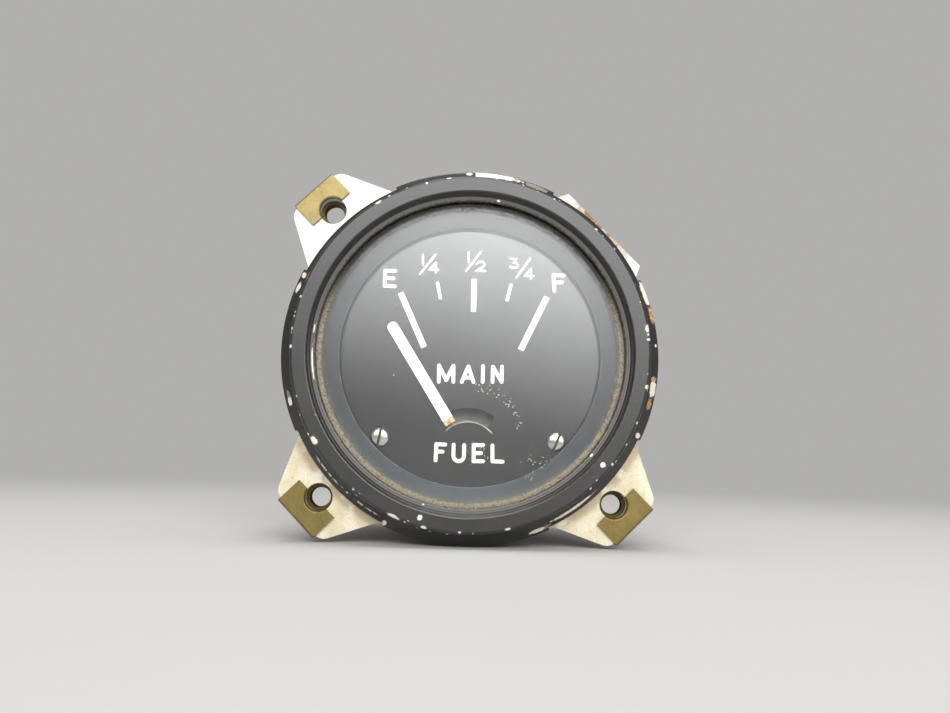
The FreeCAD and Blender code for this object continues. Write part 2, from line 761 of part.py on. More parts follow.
def make_bearings():
    """Bushings in the plate and in the bridge behind the armature, which is held by two posts."""
    bore = "staff_radius + staff_play"
    front_steps = [
        (bore, "bushing_radius", PLATE_BACK + " - bushing_collar", PLATE_FACE),
        (bore, "bushing_flange", PLATE_FACE, PLATE_FACE + " + bushing_collar"),
    ]
    front, _ = stepped_piece("front_bushing", front_steps)
    place(front, y=PIVOT)
    back_steps = [
        (bore, "bushing_flange", BRIDGE_BACK + " - bushing_collar", BRIDGE_BACK),
        (bore, "bushing_radius", BRIDGE_BACK, BRIDGE_FACE + " + bushing_collar"),
    ]
    back, _ = stepped_piece("rear_bushing", back_steps)
    place(back, y=PIVOT)

    bridge = new_piece("rear_bridge")
    bar = sketch_on(bridge, "XY_Plane", "bridge_bar", BRIDGE_FACE)
    bar_corners = [
        ("0 - bridge_half_length", "0 - bridge_half_width - bridge_post_drop"),
        ("bridge_half_length", "0 - bridge_half_width - bridge_post_drop"),
        ("bridge_half_length", "bridge_half_width - bridge_post_drop"),
        ("0 - bridge_half_length", "bridge_half_width - bridge_post_drop"),
    ]
    draw_outline(bar, bar_corners)
    draw_circle(bar, "bushing_radius")
    for side in ("", "0 - "):
        draw_circle(bar, "screw_shank", side + "bridge_post_x", "0 - bridge_post_drop")
    add_feature("Pad", bar, "bridge_thickness", backwards=True)
    end = measure("bridge_half_length") - NEAR
    round_edges(bridge, "bridge_round", upright_edge(lambda spot: abs(spot.x) > end))
    place(bridge, y=PIVOT)

    post_steps = [
        ("screw_shank", "bridge_post_radius", BRIDGE_FACE, BRIDGE_FACE + " + tap_depth"),
        ("0", "bridge_post_radius", BRIDGE_FACE + " + tap_depth", PLATE_BACK),
    ]
    place(stepped_pair("bridge_posts", post_steps, "bridge_post_x", "0 - bridge_post_drop"), y=PIVOT)
    screw_steps = [
        ("0", "screw_head", BRIDGE_BACK + " - screw_head_height", BRIDGE_BACK),
        ("0", "screw_shank", BRIDGE_BACK, BRIDGE_FACE + " + screw_reach"),
    ]
    place(stepped_pair("bridge_screws", screw_steps, "bridge_post_x", "0 - bridge_post_drop"), y=PIVOT)


# The rivets of the coil brackets, on the line of each coil beyond its bracket
RIVET_REACH = "core_reach + bracket_metal + bracket_foot / 2"
RIVET_X = f"({RIVET_REACH}) * sin(coil_lean)"
RIVET_Y = f"({RIVET_REACH}) * cos(coil_lean) - pivot_drop"


def make_coil(name, side):
    """One coil: an iron core with a hollowed pole, its bobbin, its winding and its bracket."""
    lean = math.radians(measure("coil_lean")) * side
    outwards = Vector(math.sin(lean), math.cos(lean), 0)
    forwards = Vector(0, 0, 1)
    turn = Rotation(forwards.cross(outwards), forwards, outwards, "ZXY")

    core = new_piece(name + "_core")
    rod = sketch_on(core, "XY_Plane", name + "_rod", "armature_radius")
    draw_circle(rod, "core_radius")
    add_feature("Pad", rod, "core_reach - armature_radius")
    tap = sketch_on(core, "XY_Plane", name + "_tap", "core_reach")
    draw_circle(tap, "screw_shank")
    add_feature("Pocket", tap, "tap_depth")
    pole = sketch_on(core, "XZ_Plane", name + "_pole")
    draw_circle(pole, "pole_gap_radius")
    add_feature("Pocket", pole, "core_radius * 4", both_ways=True)

    bobbin_corners = [
        ("core_radius", "bobbin_near"),
        ("bobbin_flange", "bobbin_near"),
        ("bobbin_flange", "bobbin_near + bobbin_wall"),
        ("core_radius + bobbin_wall", "bobbin_near + bobbin_wall"),
        ("core_radius + bobbin_wall", "bobbin_far - bobbin_wall"),
        ("bobbin_flange", "bobbin_far - bobbin_wall"),
        ("bobbin_flange", "bobbin_far"),
        ("core_radius", "bobbin_far"),
    ]
    bobbin = turned_piece(name + "_bobbin", bobbin_corners)
    wound_corners = ring_corners(
        "core_radius + bobbin_wall", "winding_radius",
        "bobbin_near + bobbin_wall", "bobbin_far - bobbin_wall",
    )
    winding = turned_piece(name + "_winding", wound_corners)

    bracket = new_piece(name + "_bracket")
    plate_gap = "coil_plane - plate_face - plate_thickness"
    angle = sketch_on(bracket, "YZ_Plane", name + "_angle")
    foot_end = "core_reach + bracket_metal + bracket_foot"
    angle_corners = [
        ("0 - bracket_drop", "core_reach"),
        (plate_gap, "core_reach"),
        (plate_gap, foot_end),
        (plate_gap + " - bracket_metal", foot_end),
        (plate_gap + " - bracket_metal", "core_reach + bracket_metal"),
        ("0 - bracket_drop", "core_reach + bracket_metal"),
    ]
    draw_outline(angle, angle_corners)
    add_feature("Pad", angle, "bracket_half_width * 2", both_ways=True)
    screw_hole = sketch_on(bracket, "XY_Plane", name + "_screw_hole", "core_reach + bracket_metal")
    draw_circle(screw_hole, "screw_shank")
    add_feature("Pocket", screw_hole, "bracket_metal")
    rivet_hole = sketch_on(bracket, "XZ_Plane", name + "_rivet_hole")
    draw_circle(rivet_hole, "rivet_radius", "0", RIVET_REACH)
    add_feature("Pocket", rivet_hole, "coil_plane * 2", both_ways=True)

    screw_steps = [
        ("0", "screw_shank", "core_reach - screw_reach", "core_reach + bracket_metal"),
        ("0", "screw_head", "core_reach + bracket_metal", "core_reach + bracket_metal + screw_head_height"),
    ]
    screw, _ = stepped_piece(name + "_core_screw", screw_steps)
    for piece in (core, bobbin, winding, bracket, screw):
        place(piece, y=PIVOT, z="0 - coil_plane", turn=turn)


def make_bracket_rivets():
    """Rivets that hold the feet of both coil brackets to the back of the plate."""
    foot_back = PLATE_BACK + " - bracket_metal"
    rivet_steps = [
        ("0", "rivet_head", foot_back + " - rivet_head_height", foot_back),
        ("0", "rivet_radius", foot_back, PLATE_FACE),
        ("0", "rivet_head", PLATE_FACE, PLATE_FACE + " + rivet_head_height"),
    ]
    place(stepped_pair("bracket_rivets", rivet_steps, RIVET_X, RIVET_Y))


def make_resistor():
    """Calibrating resistor wound on a fibre card, which stands off the plate on two posts."""
    card_face = "0 - card_face"
    card_back = card_face + " - card_thickness"
    card = new_piece("resistor_card")
    outline = sketch_on(card, "XY_Plane", "card_outline", card_face)
    draw_outline(outline, box_corners("card_half_length", "card_rise", "card_half_height"))
    add_feature("Pad", outline, "card_thickness", backwards=True)
    place(card)
    wrap = new_piece("resistor_winding")
    around = sketch_on(wrap, "XY_Plane", "wrap_outline", card_face + " + resistor_wrap")
    draw_outline(around, box_corners("resistor_half_length", "card_rise", "card_half_height + resistor_wrap"))
    add_feature("Pad", around, "card_thickness + resistor_wrap * 2", backwards=True)
    window = sketch_on(wrap, "XY_Plane", "wrap_window", card_face)
    draw_outline(window, box_corners("resistor_half_length", "card_rise", "card_half_height"))
    add_feature("Pocket", window, "card_thickness")
    place(wrap)
    post_steps = [("0", "card_post_radius", card_face, PLATE_BACK)]
    place(stepped_pair("resistor_posts", post_steps, "card_post_x", "card_rise"))


def box_corners(half_length, middle, half_height):
    """An upright box about the middle line, its middle raised."""
    return [
        (f"0 - {half_length}", f"{middle} - ({half_height})"),
        (half_length, f"{middle} - ({half_height})"),
        (half_length, f"{middle} + {half_height}"),
        (f"0 - {half_length}", f"{middle} + {half_height}"),
    ]


def make_terminals():
    """Two brass studs through the back of the case with their insulators, washers and nuts.

    A stud's thread is drawn at its full radius, and at its pitch radius where the nuts grip it.
    """
    washer_back = CASE_BACK + " - washer_thickness"
    clamp_back = washer_back + " - nut_height"
    lock_back = clamp_back + " - lock_washer_thickness"
    nut_back = lock_back + " - nut_height"
    insulator_face = CASE_FLOOR + " + insulator_thickness"
    bushing_steps = [
        ("insulator_bore", "insulator_sleeve", CASE_BACK, CASE_FLOOR),
        ("insulator_bore", "insulator_radius", CASE_FLOOR, insulator_face),
    ]
    place(stepped_pair("terminal_bushings", bushing_steps, "terminal_x"))
    washer_steps = [("insulator_bore", "insulator_radius", washer_back, CASE_BACK)]
    place(stepped_pair("terminal_insulators", washer_steps, "terminal_x"))
    lock_steps = [("insulator_bore", "lock_washer_radius", lock_back, clamp_back)]
    place(stepped_pair("terminal_washers", lock_steps, "terminal_x"))
    nut_levels = (("clamp_nuts", clamp_back, washer_back), ("terminal_nuts", nut_back, lock_back))
    for label, low, high in nut_levels:
        nuts = new_piece(label)
        hexagon = sketch_on(nuts, "XY_Plane", label + "_hexagon", low)
        corners = []
        for step in range(6):
            angle = str(60 * step)
            corners.append((f"terminal_x + nut_corner * cos({angle})", f"nut_corner * sin({angle}) + 0"))
        draw_outline(hexagon, corners)
        draw_circle(hexagon, "thread_radius", "terminal_x")
        mirror_sideways(nuts, [add_feature("Pad", hexagon, f"({high}) - ({low})")])
        place(nuts)
    stud_corners = [
        ("0", "0 - stud_end"),
        ("stud_radius - stud_chamfer", "0 - stud_end"),
        ("stud_radius", "stud_chamfer - stud_end"),
        ("stud_radius", nut_back),
        ("thread_radius", nut_back),
        ("thread_radius", washer_back),
        ("stud_radius", washer_back),
        ("stud_radius", insulator_face),
        ("stud_head_radius", insulator_face),
        ("stud_head_radius", insulator_face + " + stud_head_height"),
        ("0", insulator_face + " + stud_head_height"),
    ]
    for label, side in (("sender_stud", "0 - "), ("supply_stud", "")):
        place(turned_piece(label, stud_corners), x=side + "terminal_x")


def make_lead(label, side):
    """Wire from the head of one terminal stud to the back of its coil, in two easy bends."""
    radius = measure("lead_radius")
    bend = measure("lead_bend")
    stud_face = measure(CASE_FLOOR + " + insulator_thickness + stud_head_height")
    start = Vector(side * measure("terminal_x"), 0, stud_face)
    reach = measure("(bobbin_near + bobbin_far) / 2")
    lean = math.radians(measure("coil_lean")) * side
    end_height = measure("0 - coil_plane - winding_radius + lead_inlet")
    end = Vector(reach * math.sin(lean), reach * math.cos(lean) - measure("pivot_drop"), end_height)
    across = Vector(end.x - start.x, end.y - start.y, 0)
    level = (start.z + end.z) / 2
    half_step = across.Length / 2
    turn = math.acos(1 - half_step / bend)
    direction = Vector(across).normalize()
    rise = bend * math.sin(turn)

    def spot(along, height):
        """A point in the upright plane of the bends."""
        return start + direction * along + Vector(0, 0, height - start.z)

    half_turn = turn / 2
    first_middle = spot(bend * (1 - math.cos(half_turn)), level - rise + bend * math.sin(half_turn))
    second_middle = spot(
        across.Length - bend * (1 - math.cos(half_turn)),
        level + rise - bend * math.sin(half_turn),
    )
    bend_start = spot(0, level - rise)
    middle = spot(half_step, level)
    bend_end = spot(across.Length, level + rise)
    path = Part.Wire([
        Part.LineSegment(start, bend_start).toShape(),
        Part.Arc(bend_start, first_middle, middle).toShape(),
        Part.Arc(middle, second_middle, bend_end).toShape(),
        Part.LineSegment(bend_end, end).toShape(),
    ])
    section = Part.Wire([Part.makeCircle(radius, start, Vector(0, 0, 1))])
    lead = document.addObject("Part::Feature", label)
    lead.Label = label
    lead.Shape = path.makePipeShell([section], True, False)
    lead.Placement = FACE
    pieces.append(lead)
    expected = math.pi * radius ** 2 * path.Length
    print(f"{label}: volume {lead.Shape.Volume:.3f}, section times length {expected:.3f}")


make_bezel()
make_glass_and_reflector()
make_flange()
for corner, bearing in (("upper_left", 135), ("lower_left", 225), ("lower_right", 315)):
    make_clip(corner, bearing)
make_case()
make_dial()
make_pointer()
make_movement_plate()
make_bearings()
for name, side in (("empty", -1), ("full", 1)):
    make_coil(name, side)
make_bracket_rivets()
make_resistor()
make_terminals()
for label, side in (("sender_lead", -1), ("supply_lead", 1)):
    make_lead(label, side)

document.recompute()
for item in document.Objects:
    if "Invalid" in item.State or "Error" in item.State:
        raise RuntimeError(f"{item.Name} did not build: {item.State}")
os.makedirs("parts", exist_ok=True)
for piece in pieces:
    shape = piece.Shape
    if shape.isNull() or not shape.isValid() or not shape.Solids:
        raise RuntimeError(piece.Label + " has no sound solid")
for piece in pieces:
    piece.Shape.exportStep(f"parts/{piece.Label}.step")
print(len(pieces), "pieces written")
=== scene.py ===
import json
import math

import bmesh
import bpy
from mathutils import Matrix, Vector


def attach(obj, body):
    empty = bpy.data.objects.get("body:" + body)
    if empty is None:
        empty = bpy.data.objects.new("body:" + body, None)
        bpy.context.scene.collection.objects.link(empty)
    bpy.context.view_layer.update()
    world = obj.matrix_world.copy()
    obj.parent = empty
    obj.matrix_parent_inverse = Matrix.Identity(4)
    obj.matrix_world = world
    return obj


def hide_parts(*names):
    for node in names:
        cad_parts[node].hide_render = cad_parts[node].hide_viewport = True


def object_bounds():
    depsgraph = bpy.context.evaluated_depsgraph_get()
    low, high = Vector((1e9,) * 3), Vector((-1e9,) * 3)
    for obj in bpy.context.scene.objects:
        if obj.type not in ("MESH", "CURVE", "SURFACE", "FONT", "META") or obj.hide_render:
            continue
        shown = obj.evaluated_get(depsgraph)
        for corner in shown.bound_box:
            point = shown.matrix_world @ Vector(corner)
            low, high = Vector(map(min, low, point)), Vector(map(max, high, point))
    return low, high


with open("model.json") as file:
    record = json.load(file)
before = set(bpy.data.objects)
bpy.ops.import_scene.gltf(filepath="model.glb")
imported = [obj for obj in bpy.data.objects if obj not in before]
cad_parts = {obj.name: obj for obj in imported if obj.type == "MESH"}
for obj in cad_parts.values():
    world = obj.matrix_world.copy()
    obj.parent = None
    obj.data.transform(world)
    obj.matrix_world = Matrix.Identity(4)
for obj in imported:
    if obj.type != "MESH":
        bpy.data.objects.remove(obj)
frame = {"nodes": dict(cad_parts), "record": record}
cad_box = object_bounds()
MM = 0.001

# camera, measured from the screw holes and the rings of the bezel
CAMERA_PLACE = Vector((-1.661, -129.799, -17.297)) * MM
CAMERA_AIM = Vector((0.741, 0.0, -0.234)) * MM
CAMERA_ROLL = math.radians(-1.544)
CAMERA_LENS = 30.316

# dial
DIAL_FACE = 1.9
PIVOT_X = 0.3
PIVOT_Z = -15.9
MARK_END = 28.9
PRINT_HEIGHT = 0.035
PRINT_STEP = 0.004
BOLD = 0.62
THIN = 0.36

# glass
GLASS_FRONT = -3.5
GLASS_SHOWS = 24.56

# terminals
TERMINALS = (-9.5, 9.5)
STUD_MAJOR = 2.4
STUD_MINOR = 1.98
STUD_PITCH = 0.79
STUD_END = 52.0
STUD_CHAMFER = 0.5
STUD_POINTS = 36
STUD_ROWS_PER_TURN = 8
STUD_HEAD = (
    (0, 34.9), (4.0, 34.9), (4.2, 35.1), (4.2, 36.2), (4.0, 36.4), (2.4, 36.4),
)
THREAD_START = 36.4
THREAD_CREST = 0.12
THREAD_FLANK = 0.72
NUT_APOTHEM = 4.763
NUT_FLAT = 4.5
NUT_BORE = 2.2
NUT_MOUTH = 2.5
NUT_MOUTH_DEPTH = 0.3
CHAMFER_SLOPE = 0.577
WASHER_BORE = 2.62
WASHER_EDGE = 4.52
WASHER_RADIUS = 4.6
WASHER_ROUND = 0.1
WASHER_GAP = 8.0

# clips
EAR_HOLE = 33.34 / math.sqrt(2)
CLIP_THREAD_LOW = 1.9
CLIP_THREAD_HIGH = 3.4
CLIP_THREAD_PITCH = 0.79
CLIP_THREAD_WALL = 1.72
CLIP_THREAD_RISE = 0.17
CLIP_THREAD_FOOT = 0.26
CLIP_THREAD_POINTS = 36
CLIP_THREAD_RUN_IN = 9

# screws, as places in x and z
DIAL_SCREWS = [(-14.4, -13.8), (14.4, -13.8)]
BACK_POSTS = [(-13.5, 13.5), (13.5, 13.5), (0.0, -22.8)]
BRIDGE_SCREWS = [(-12.3, -16.9), (12.3, -16.9)]

# studio: levels, half the floor in metres, and how far out it fades, in millimetres
PALE = (0.44, 0.436, 0.428, 1.0)
EVEN = (0.3, 0.3, 0.3, 1.0)
FLOOR_HALF = 3.0
FLOOR_PLAIN_TO = 60.0
FLOOR_GONE_FROM = 420.0
LAMP_TILT = 0.28
LAMP_FULL = 0.4
LAMP_POWER = 1.55


def tone(red, green, blue):
    """A colour given as it looks on a screen, from 0 to 255."""
    parts = []
    for part in (red, green, blue):
        share = part / 255.0
        if share <= 0.04045:
            parts.append(share / 12.92)
        else:
            parts.append(((share + 0.055) / 1.055) ** 2.4)
    return (*parts, 1.0)


class Value:
    """The output of a shader node, which can be used in sums like a number."""

    def __init__(self, shading, socket):
        self.shading = shading
        self.socket = socket

    def math(self, operation, *others):
        return self.shading.node("Math", {"operation": operation}, (self, *others))

    def __add__(self, other):
        return self.math("ADD", other)

    __radd__ = __add__

    def __mul__(self, other):
        return self.math("MULTIPLY", other)

    __rmul__ = __mul__

    def __sub__(self, other):
        return self.math("SUBTRACT", other)

    def __rsub__(self, other):
        return self.shading.node("Math", {"operation": "SUBTRACT"}, (other, self))

    def __pow__(self, other):
        return self.math("POWER", other)

    def __abs__(self):
        return self.math("ABSOLUTE")

    def both(self, other):
        return self.math("MINIMUM", other)

    def either(self, other):
        return self.math("MAXIMUM", other)

    def over(self, edge, soft):
        """0 under the edge and 1 over it, with a soft step between."""
        settings = {"interpolation_type": "SMOOTHSTEP"}
        sockets = {"Value": self, "From Min": edge - soft / 2, "From Max": edge + soft / 2}
        return self.shading.node("MapRange", settings, sockets)

    def under(self, edge, soft):
        return 1 - self.over(edge, soft)

    def within(self, low, high, soft):
        return self.over(low, soft) * self.under(high, soft)


class Shading:
    """The nodes of a surface, a lamp or the world."""

    def __init__(self, holder):
        holder.use_nodes = True
        self.tree = holder.node_tree
        self.tree.nodes.clear()

    def node(self, kind, settings, sockets, output=0):
        """Adds a node: first its settings, then the values or links of its sockets."""
        made = self.tree.nodes.new("ShaderNode" + kind)
        for name, setting in settings.items():
            setattr(made, name, setting)
        if not isinstance(sockets, dict):
            sockets = dict(enumerate(sockets))
        for key, entry in sockets.items():
            if isinstance(entry, Value):
                self.tree.links.new(entry.socket, made.inputs[key])
            else:
                made.inputs[key].default_value = entry
        return Value(self, made.outputs[output]) if made.outputs else None

    def seen(self):
        """1 for rays from the camera, off a mirror or through glass, and 0 for other light."""
        camera, mirror, glass = (
            self.node("LightPath", {}, {}, f"Is {kind} Ray")
            for kind in ("Camera", "Glossy", "Transmission")
        )
        return camera.either(mirror).either(glass)


class Finish(Shading):
    """The procedural material of one finish, with the place on the object in millimetres."""

    def __init__(self, name):
        self.material = bpy.data.materials.new(name)
        super().__init__(self.material)
        sockets = {0: self.node("TexCoord", {}, {}, "Object"), "Scale": 1000.0}
        self.place = self.node("VectorMath", {"operation": "SCALE"}, sockets)
        self.x = self.node("SeparateXYZ", {}, {0: self.place}, "X")
        self.y = self.node("SeparateXYZ", {}, {0: self.place}, "Y")
        self.z = self.node("SeparateXYZ", {}, {0: self.place}, "Z")

    def facing(self):
        """1 on faces that look along the case, and 0 on walls round it."""
        normal = self.node("TexCoord", {}, {}, "Normal")
        return abs(self.node("SeparateXYZ", {}, {0: normal}, "Y"))

    def radius(self, x=0.0, z=0.0):
        """Distance from an axis that runs back through the dial."""
        return ((self.x - x) ** 2 + (self.z - z) ** 2) ** 0.5

    def bearing(self):
        """Degrees round the dial, clockwise from the top, from 0 to 360."""
        return (self.x.math("ARCTAN2", self.z) * 57.2958).math("FLOORED_MODULO", 360.0)

    def spots(self, bearing, radius, places):
        """Distance to the nearest of some oval spots, 1 at their edges.

        A place is the bearing in degrees, the radius in millimetres, and half the size each way.
        """
        where = self.node("CombineXYZ", {}, (bearing, radius, 0.0))
        nearest = None
        for at, middle, half_turn, half_width in places:
            sockets = {
                0: where,
                1: (1 / half_turn, 1 / half_width, 0.0),
                2: (-at / half_turn, -middle / half_width, 0.0),
            }
            moved = self.node("VectorMath", {"operation": "MULTIPLY_ADD"}, sockets)
            length = self.node("VectorMath", {"operation": "LENGTH"}, {0: moved}, "Value")
            nearest = length.both(nearest) if nearest else length
        return nearest

    def noise(self, size, detail=2.0, roughness=0.5, stretch=(1.0, 1.0, 1.0), shift=0.0):
        """Cloudy change from 0 to 1. The size is the width of a cloud in millimetres."""
        moved = {"Vector": self.place, "Location": (shift, -shift, shift / 2), "Scale": stretch}
        where = self.node("Mapping", {}, moved)
        sockets = {"Vector": where, "Scale": 1 / size, "Detail": detail, "Roughness": roughness}
        return self.node("TexNoise", {}, sockets, "Fac")

    def grains(self, size, shift=0.0):
        """Distance to the nearest of many scattered points, from 0 at the point."""
        moved = {"Vector": self.place, "Location": (shift, shift, -shift)}
        where = self.node("Mapping", {}, moved)
        return self.node("TexVoronoi", {}, {"Vector": where, "Scale": 1 / size}, "Distance")

    def specks(self, size, share, shift=0.0):
        """Small scattered specks. The share says how large they are in their cells."""
        spread = self.noise(size * 4, 1.0, 0.5, shift=shift + 7.0)
        return self.grains(size, shift).under(share, share * 0.5) * spread.over(0.52, 0.1)

    def blend(self, first, second, share):
        """The first colour where the share is 0, and the second where it is 1."""
        return self.node("Mix", {"data_type": "RGBA"}, {0: share, 6: first, 7: second}, 2)

    def relief(self, height, depth):
        """The normal of a surface with bumps of that depth in millimetres."""
        sockets = {"Height": height, "Distance": depth * MM, "Strength": 1.0}
        return self.node("Bump", {}, sockets)

    def principled(self, **sockets):
        names = {key.replace("_", " "): entry for key, entry in sockets.items()}
        return self.node("BsdfPrincipled", {}, names)

    def done(self, shader):
        self.node("OutputMaterial", {}, {"Surface": shader})
        return self.material


# Finishes ---------------------------------------------------------------------------------------


def bezel_enamel():
    """Satin black enamel, chipped to bright metal round its skirt and at the edge of its face."""
    f = Finish("bezel_enamel")
    radius = f.radius()
    bearing = f.bearing()
    ragged = f.noise(0.8, 4.0, 0.7)
    fine = f.noise(0.3, 3.0, 0.6)
    cloud = f.noise(7.0, 3.0, 0.55)

    wall = f.facing().under(0.4, 0.3)
    patchy = (f.noise(1.4, 3.0, 0.6, shift=17.0) - 0.4) * wall * 7.0
    bare_reach = f.spots(bearing, radius, BARE_SPOTS) + (ragged - 0.5) * 1.3 + patchy
    bare = bare_reach.under(1.0, 0.2)
    rim = (bare_reach.under(1.35, 0.2) - bare) * radius.over(27.0, 0.2)
    rust_reach = f.spots(bearing, radius, RUST_SPOTS) + (ragged - 0.5) * 2.0 + patchy
    rust = rust_reach.under(1.0, 0.4)
    skirt = radius.over(28.75, 0.3)
    # painted highlights: thin light lines along the bezel's edges, in the notch of the cut ear, at
    # the lower left and at the upper left
    notch_highlight = radius.within(28.6, 29.2, 0.12) * bearing.within(24.0, 65.0, 4.0)
    notch_highlight = notch_highlight * (0.35 + ragged * 0.7)
    low_edge_highlight = radius.within(29.4, 29.65, 0.1) * bearing.within(208.0, 234.0, 3.0)
    low_edge_highlight = low_edge_highlight * ragged.over(0.5, 0.06)
    upper_edge_highlight = radius.within(28.9, 29.5, 0.12) * bearing.within(293.0, 333.0, 4.0) * 0.35
    nicks = f.specks(1.1, 0.2, 3.0) * radius.within(27.9, 28.9, 0.15) * 0.9
    dots = f.specks(3.2, 0.05, 9.0) * radius.over(25.8, 0.2)
    bare = bare.either(nicks).either(dots)

    black = f.blend(tone(14, 13, 13), tone(24, 22, 21), cloud.over(0.5, 0.3))
    black = f.blend(black, tone(52, 47, 42), fine.over(0.6, 0.2) * 0.4)
    grime = radius.under(24.85, 0.3) * f.noise(0.5, 3.0, 0.7, shift=6.0).over(0.5, 0.2)
    rings = (radius * 17.0 + ragged * 1.5).math("SINE").over(0.2, 0.8) * radius.under(25.85, 0.1)
    # painted light: the fine rings of the inner slope are painted lighter towards the bottom, where
    # light from above falls on them
    lit_lower_rings = rings * f.z.under(4.0, 20.0) * 0.5
    colour = f.blend(black, tone(112, 104, 98), lit_lower_rings)
    colour = f.blend(colour, tone(118, 106, 86), grime * 0.6)
    # paints the highlights along the edges
    lines = notch_highlight.either(low_edge_highlight).either(upper_edge_highlight)
    colour = f.blend(colour, tone(206, 200, 186), lines)
    colour = f.blend(colour, tone(112, 84, 58), rim * 0.4)
    rusty = f.blend(tone(158, 104, 56), tone(226, 178, 112), fine.over(0.55, 0.15))
    copper = bearing.within(70.0, 110.0, 4.0)
    rusty = f.blend(tone(132, 122, 106), rusty, copper)
    colour = f.blend(colour, rusty, rust)
    silver = f.blend(tone(250, 248, 242), tone(232, 216, 188), f.noise(1.0, 3.0, 0.6, shift=11.0))
    colour = f.blend(colour, silver, bare)
    gloss = 0.35 + (cloud - 0.5) * 0.1 - skirt * 0.1
    rough = gloss + lit_lower_rings * 0.2 + rust * 0.2 + bare * 0.1
    shader = f.principled(
        Base_Color=colour,
        Metallic=bare * 0.25,
        Roughness=rough,
        Specular_IOR_Level=0.9,
        Normal=f.relief(fine * 0.5 - bare * 1.2 + rust * 0.4, 0.03),
    )
    return f.done(shader)


def aged_rubber():
    """Black rubber, dusty where it meets the glass."""
    f = Finish("black_rubber")
    cloud = f.noise(1.2, 4.0, 0.6)
    dust = f.noise(0.5, 3.0, 0.7, shift=5.0).over(0.5, 0.3)
    colour = f.blend(tone(30, 29, 28), tone(52, 49, 45), cloud)
    colour = f.blend(colour, tone(146, 132, 106), dust * 0.5)
    shader = f.principled(
        Base_Color=colour,
        Roughness=0.72 + cloud * 0.2,
        Normal=f.relief(cloud, 0.05),
    )
    return f.done(shader)


def clear_glass():
    """Flat clear glass under a thin film of haze."""
    f = Finish("clear_glass")
    smear = f.noise(9.0, 4.0, 0.6, (1.0, 1.0, 0.6))
    glass = f.principled(
        Base_Color=tone(250, 252, 251),
        Transmission_Weight=1.0,
        Roughness=0.0,
        IOR=1.5,
        Coat_Weight=0.05 + smear * 0.25,
        Coat_Roughness=0.3,
    )
    clear = f.node("BsdfTransparent", {}, {})
    shadow = f.node("LightPath", {}, {}, "Is Shadow Ray")
    shader = f.node("MixShader", {}, (shadow, glass, clear))
    return f.done(shader)


def glass_dirt():
    """Dust round the edge of the glass, painted near black along the top as shade under the bezel's
    lip, with specks and fine pits on it.
    """
    f = Finish("glass_dirt")
    radius = f.radius()
    grain = f.noise(0.26, 3.0, 0.75)
    clump = f.noise(1.1, 4.0, 0.7, shift=2.0)
    # the top, where the edge band is painted dark as shade
    top = f.z.over(8.0, 14.0)
    reach = radius + (clump - 0.5) * 0.5
    band = reach.over(23.75, 0.6) * (0.45 + grain.over(0.47, 0.2) * 0.4)
    fringe = reach.over(23.1, 1.0) * grain.over(0.54, 0.12) * 0.4
    specks = f.specks(1.9, 0.05, 6.0) * 0.8
    spread = f.noise(0.9, 2.0, 0.6, shift=14.0).over(0.48, 0.06)
    pits = f.grains(0.36, 12.0).under(0.27, 0.12) * spread
    bow = abs(f.radius(1.2, -12.6) - 6.9).under(0.75, 0.6)
    bow = bow * f.x.over(0.5, 1.0) * f.z.over(-12.5, 2.0)
    patch = f.radius(1.5, -16.0).under(2.0, 2.5) * 0.7
    low_patch = f.radius(11.0, -18.5).under(3.0, 3.0) * 0.6
    flecks = pits * bow.either(patch).either(low_patch)
    film = 0.008 * f.noise(6.0, 3.0, 0.6, shift=21.0)
    share = band.either(fringe).either(specks).either(flecks).either(film)
    tan = f.blend(tone(150, 140, 118), tone(200, 188, 162), clump)
    # painted shade: the band turns from tan to near black towards the top, where the bezel's lip
    # shades it
    painted_shade_tone = f.blend(tone(12, 11, 11), tone(78, 72, 62), grain.over(0.55, 0.2))
    edge_tone = f.blend(tan, painted_shade_tone, top)
    colour = f.blend(tone(226, 224, 218), edge_tone, radius.over(22.2, 0.6))
    shader = f.principled(
        Base_Color=colour,
        Roughness=0.85,
        Alpha=share,
        Normal=f.relief(grain, 0.05),
    )
    return f.done(shader)


def reflector_paint():
    """Dull blue-grey paint with a thin worn line at its inner edge."""
    f = Finish("reflector_paint")
    radius = f.radius()
    cloud = f.noise(3.5, 4.0, 0.6)
    grain = f.noise(0.3, 3.0, 0.7)
    worn = radius.within(21.38, 21.55, 0.08) * f.noise(2.0, 2.0, 0.5, shift=3.0).over(0.45, 0.2)
    colour = f.blend(tone(42, 45, 50), tone(58, 63, 69), cloud)
    colour = f.blend(colour, tone(92, 96, 102), grain.over(0.6, 0.12) * 0.4)
    colour = f.blend(colour, tone(26, 27, 29), grain.under(0.36, 0.1) * 0.4)
    colour = f.blend(colour, tone(140, 142, 142), worn * 0.35)
    shader = f.principled(
        Base_Color=colour,
        Roughness=0.55 + grain * 0.15,
        Normal=f.relief(grain, 0.03),
    )
    return f.done(shader)


def dial_paint():
    """Satin black dial paint gone grey, worn to the metal at the lower edge of its slot."""
    f = Finish("dial_paint")
    cloud = f.noise(11.0, 3.0, 0.55)
    grain = f.noise(0.22, 3.0, 0.7)
    colour = f.blend(tone(20, 21, 21), tone(28, 29, 28), cloud)
    colour = f.blend(colour, tone(56, 56, 54), grain.over(0.64, 0.1) * 0.1)
    stain = f.specks(5.0, 0.05, 31.0)
    colour = f.blend(colour, tone(16, 15, 15), stain * 0.7)
    from_pivot = f.radius(0.0, PIVOT_Z)
    edge = from_pivot.within(4.95, 5.16, 0.06)
    edge = edge * f.z.over(PIVOT_Z + 3.3, 0.4) * f.x.over(-3.6, 0.4)
    colour = f.blend(colour, tone(206, 198, 178), edge * (0.5 + grain * 0.5))
    shader = f.principled(
        Base_Color=colour,
        Roughness=0.19 + (cloud - 0.5) * 0.04,
        Specular_IOR_Level=1.0,
    )
    return f.done(shader)


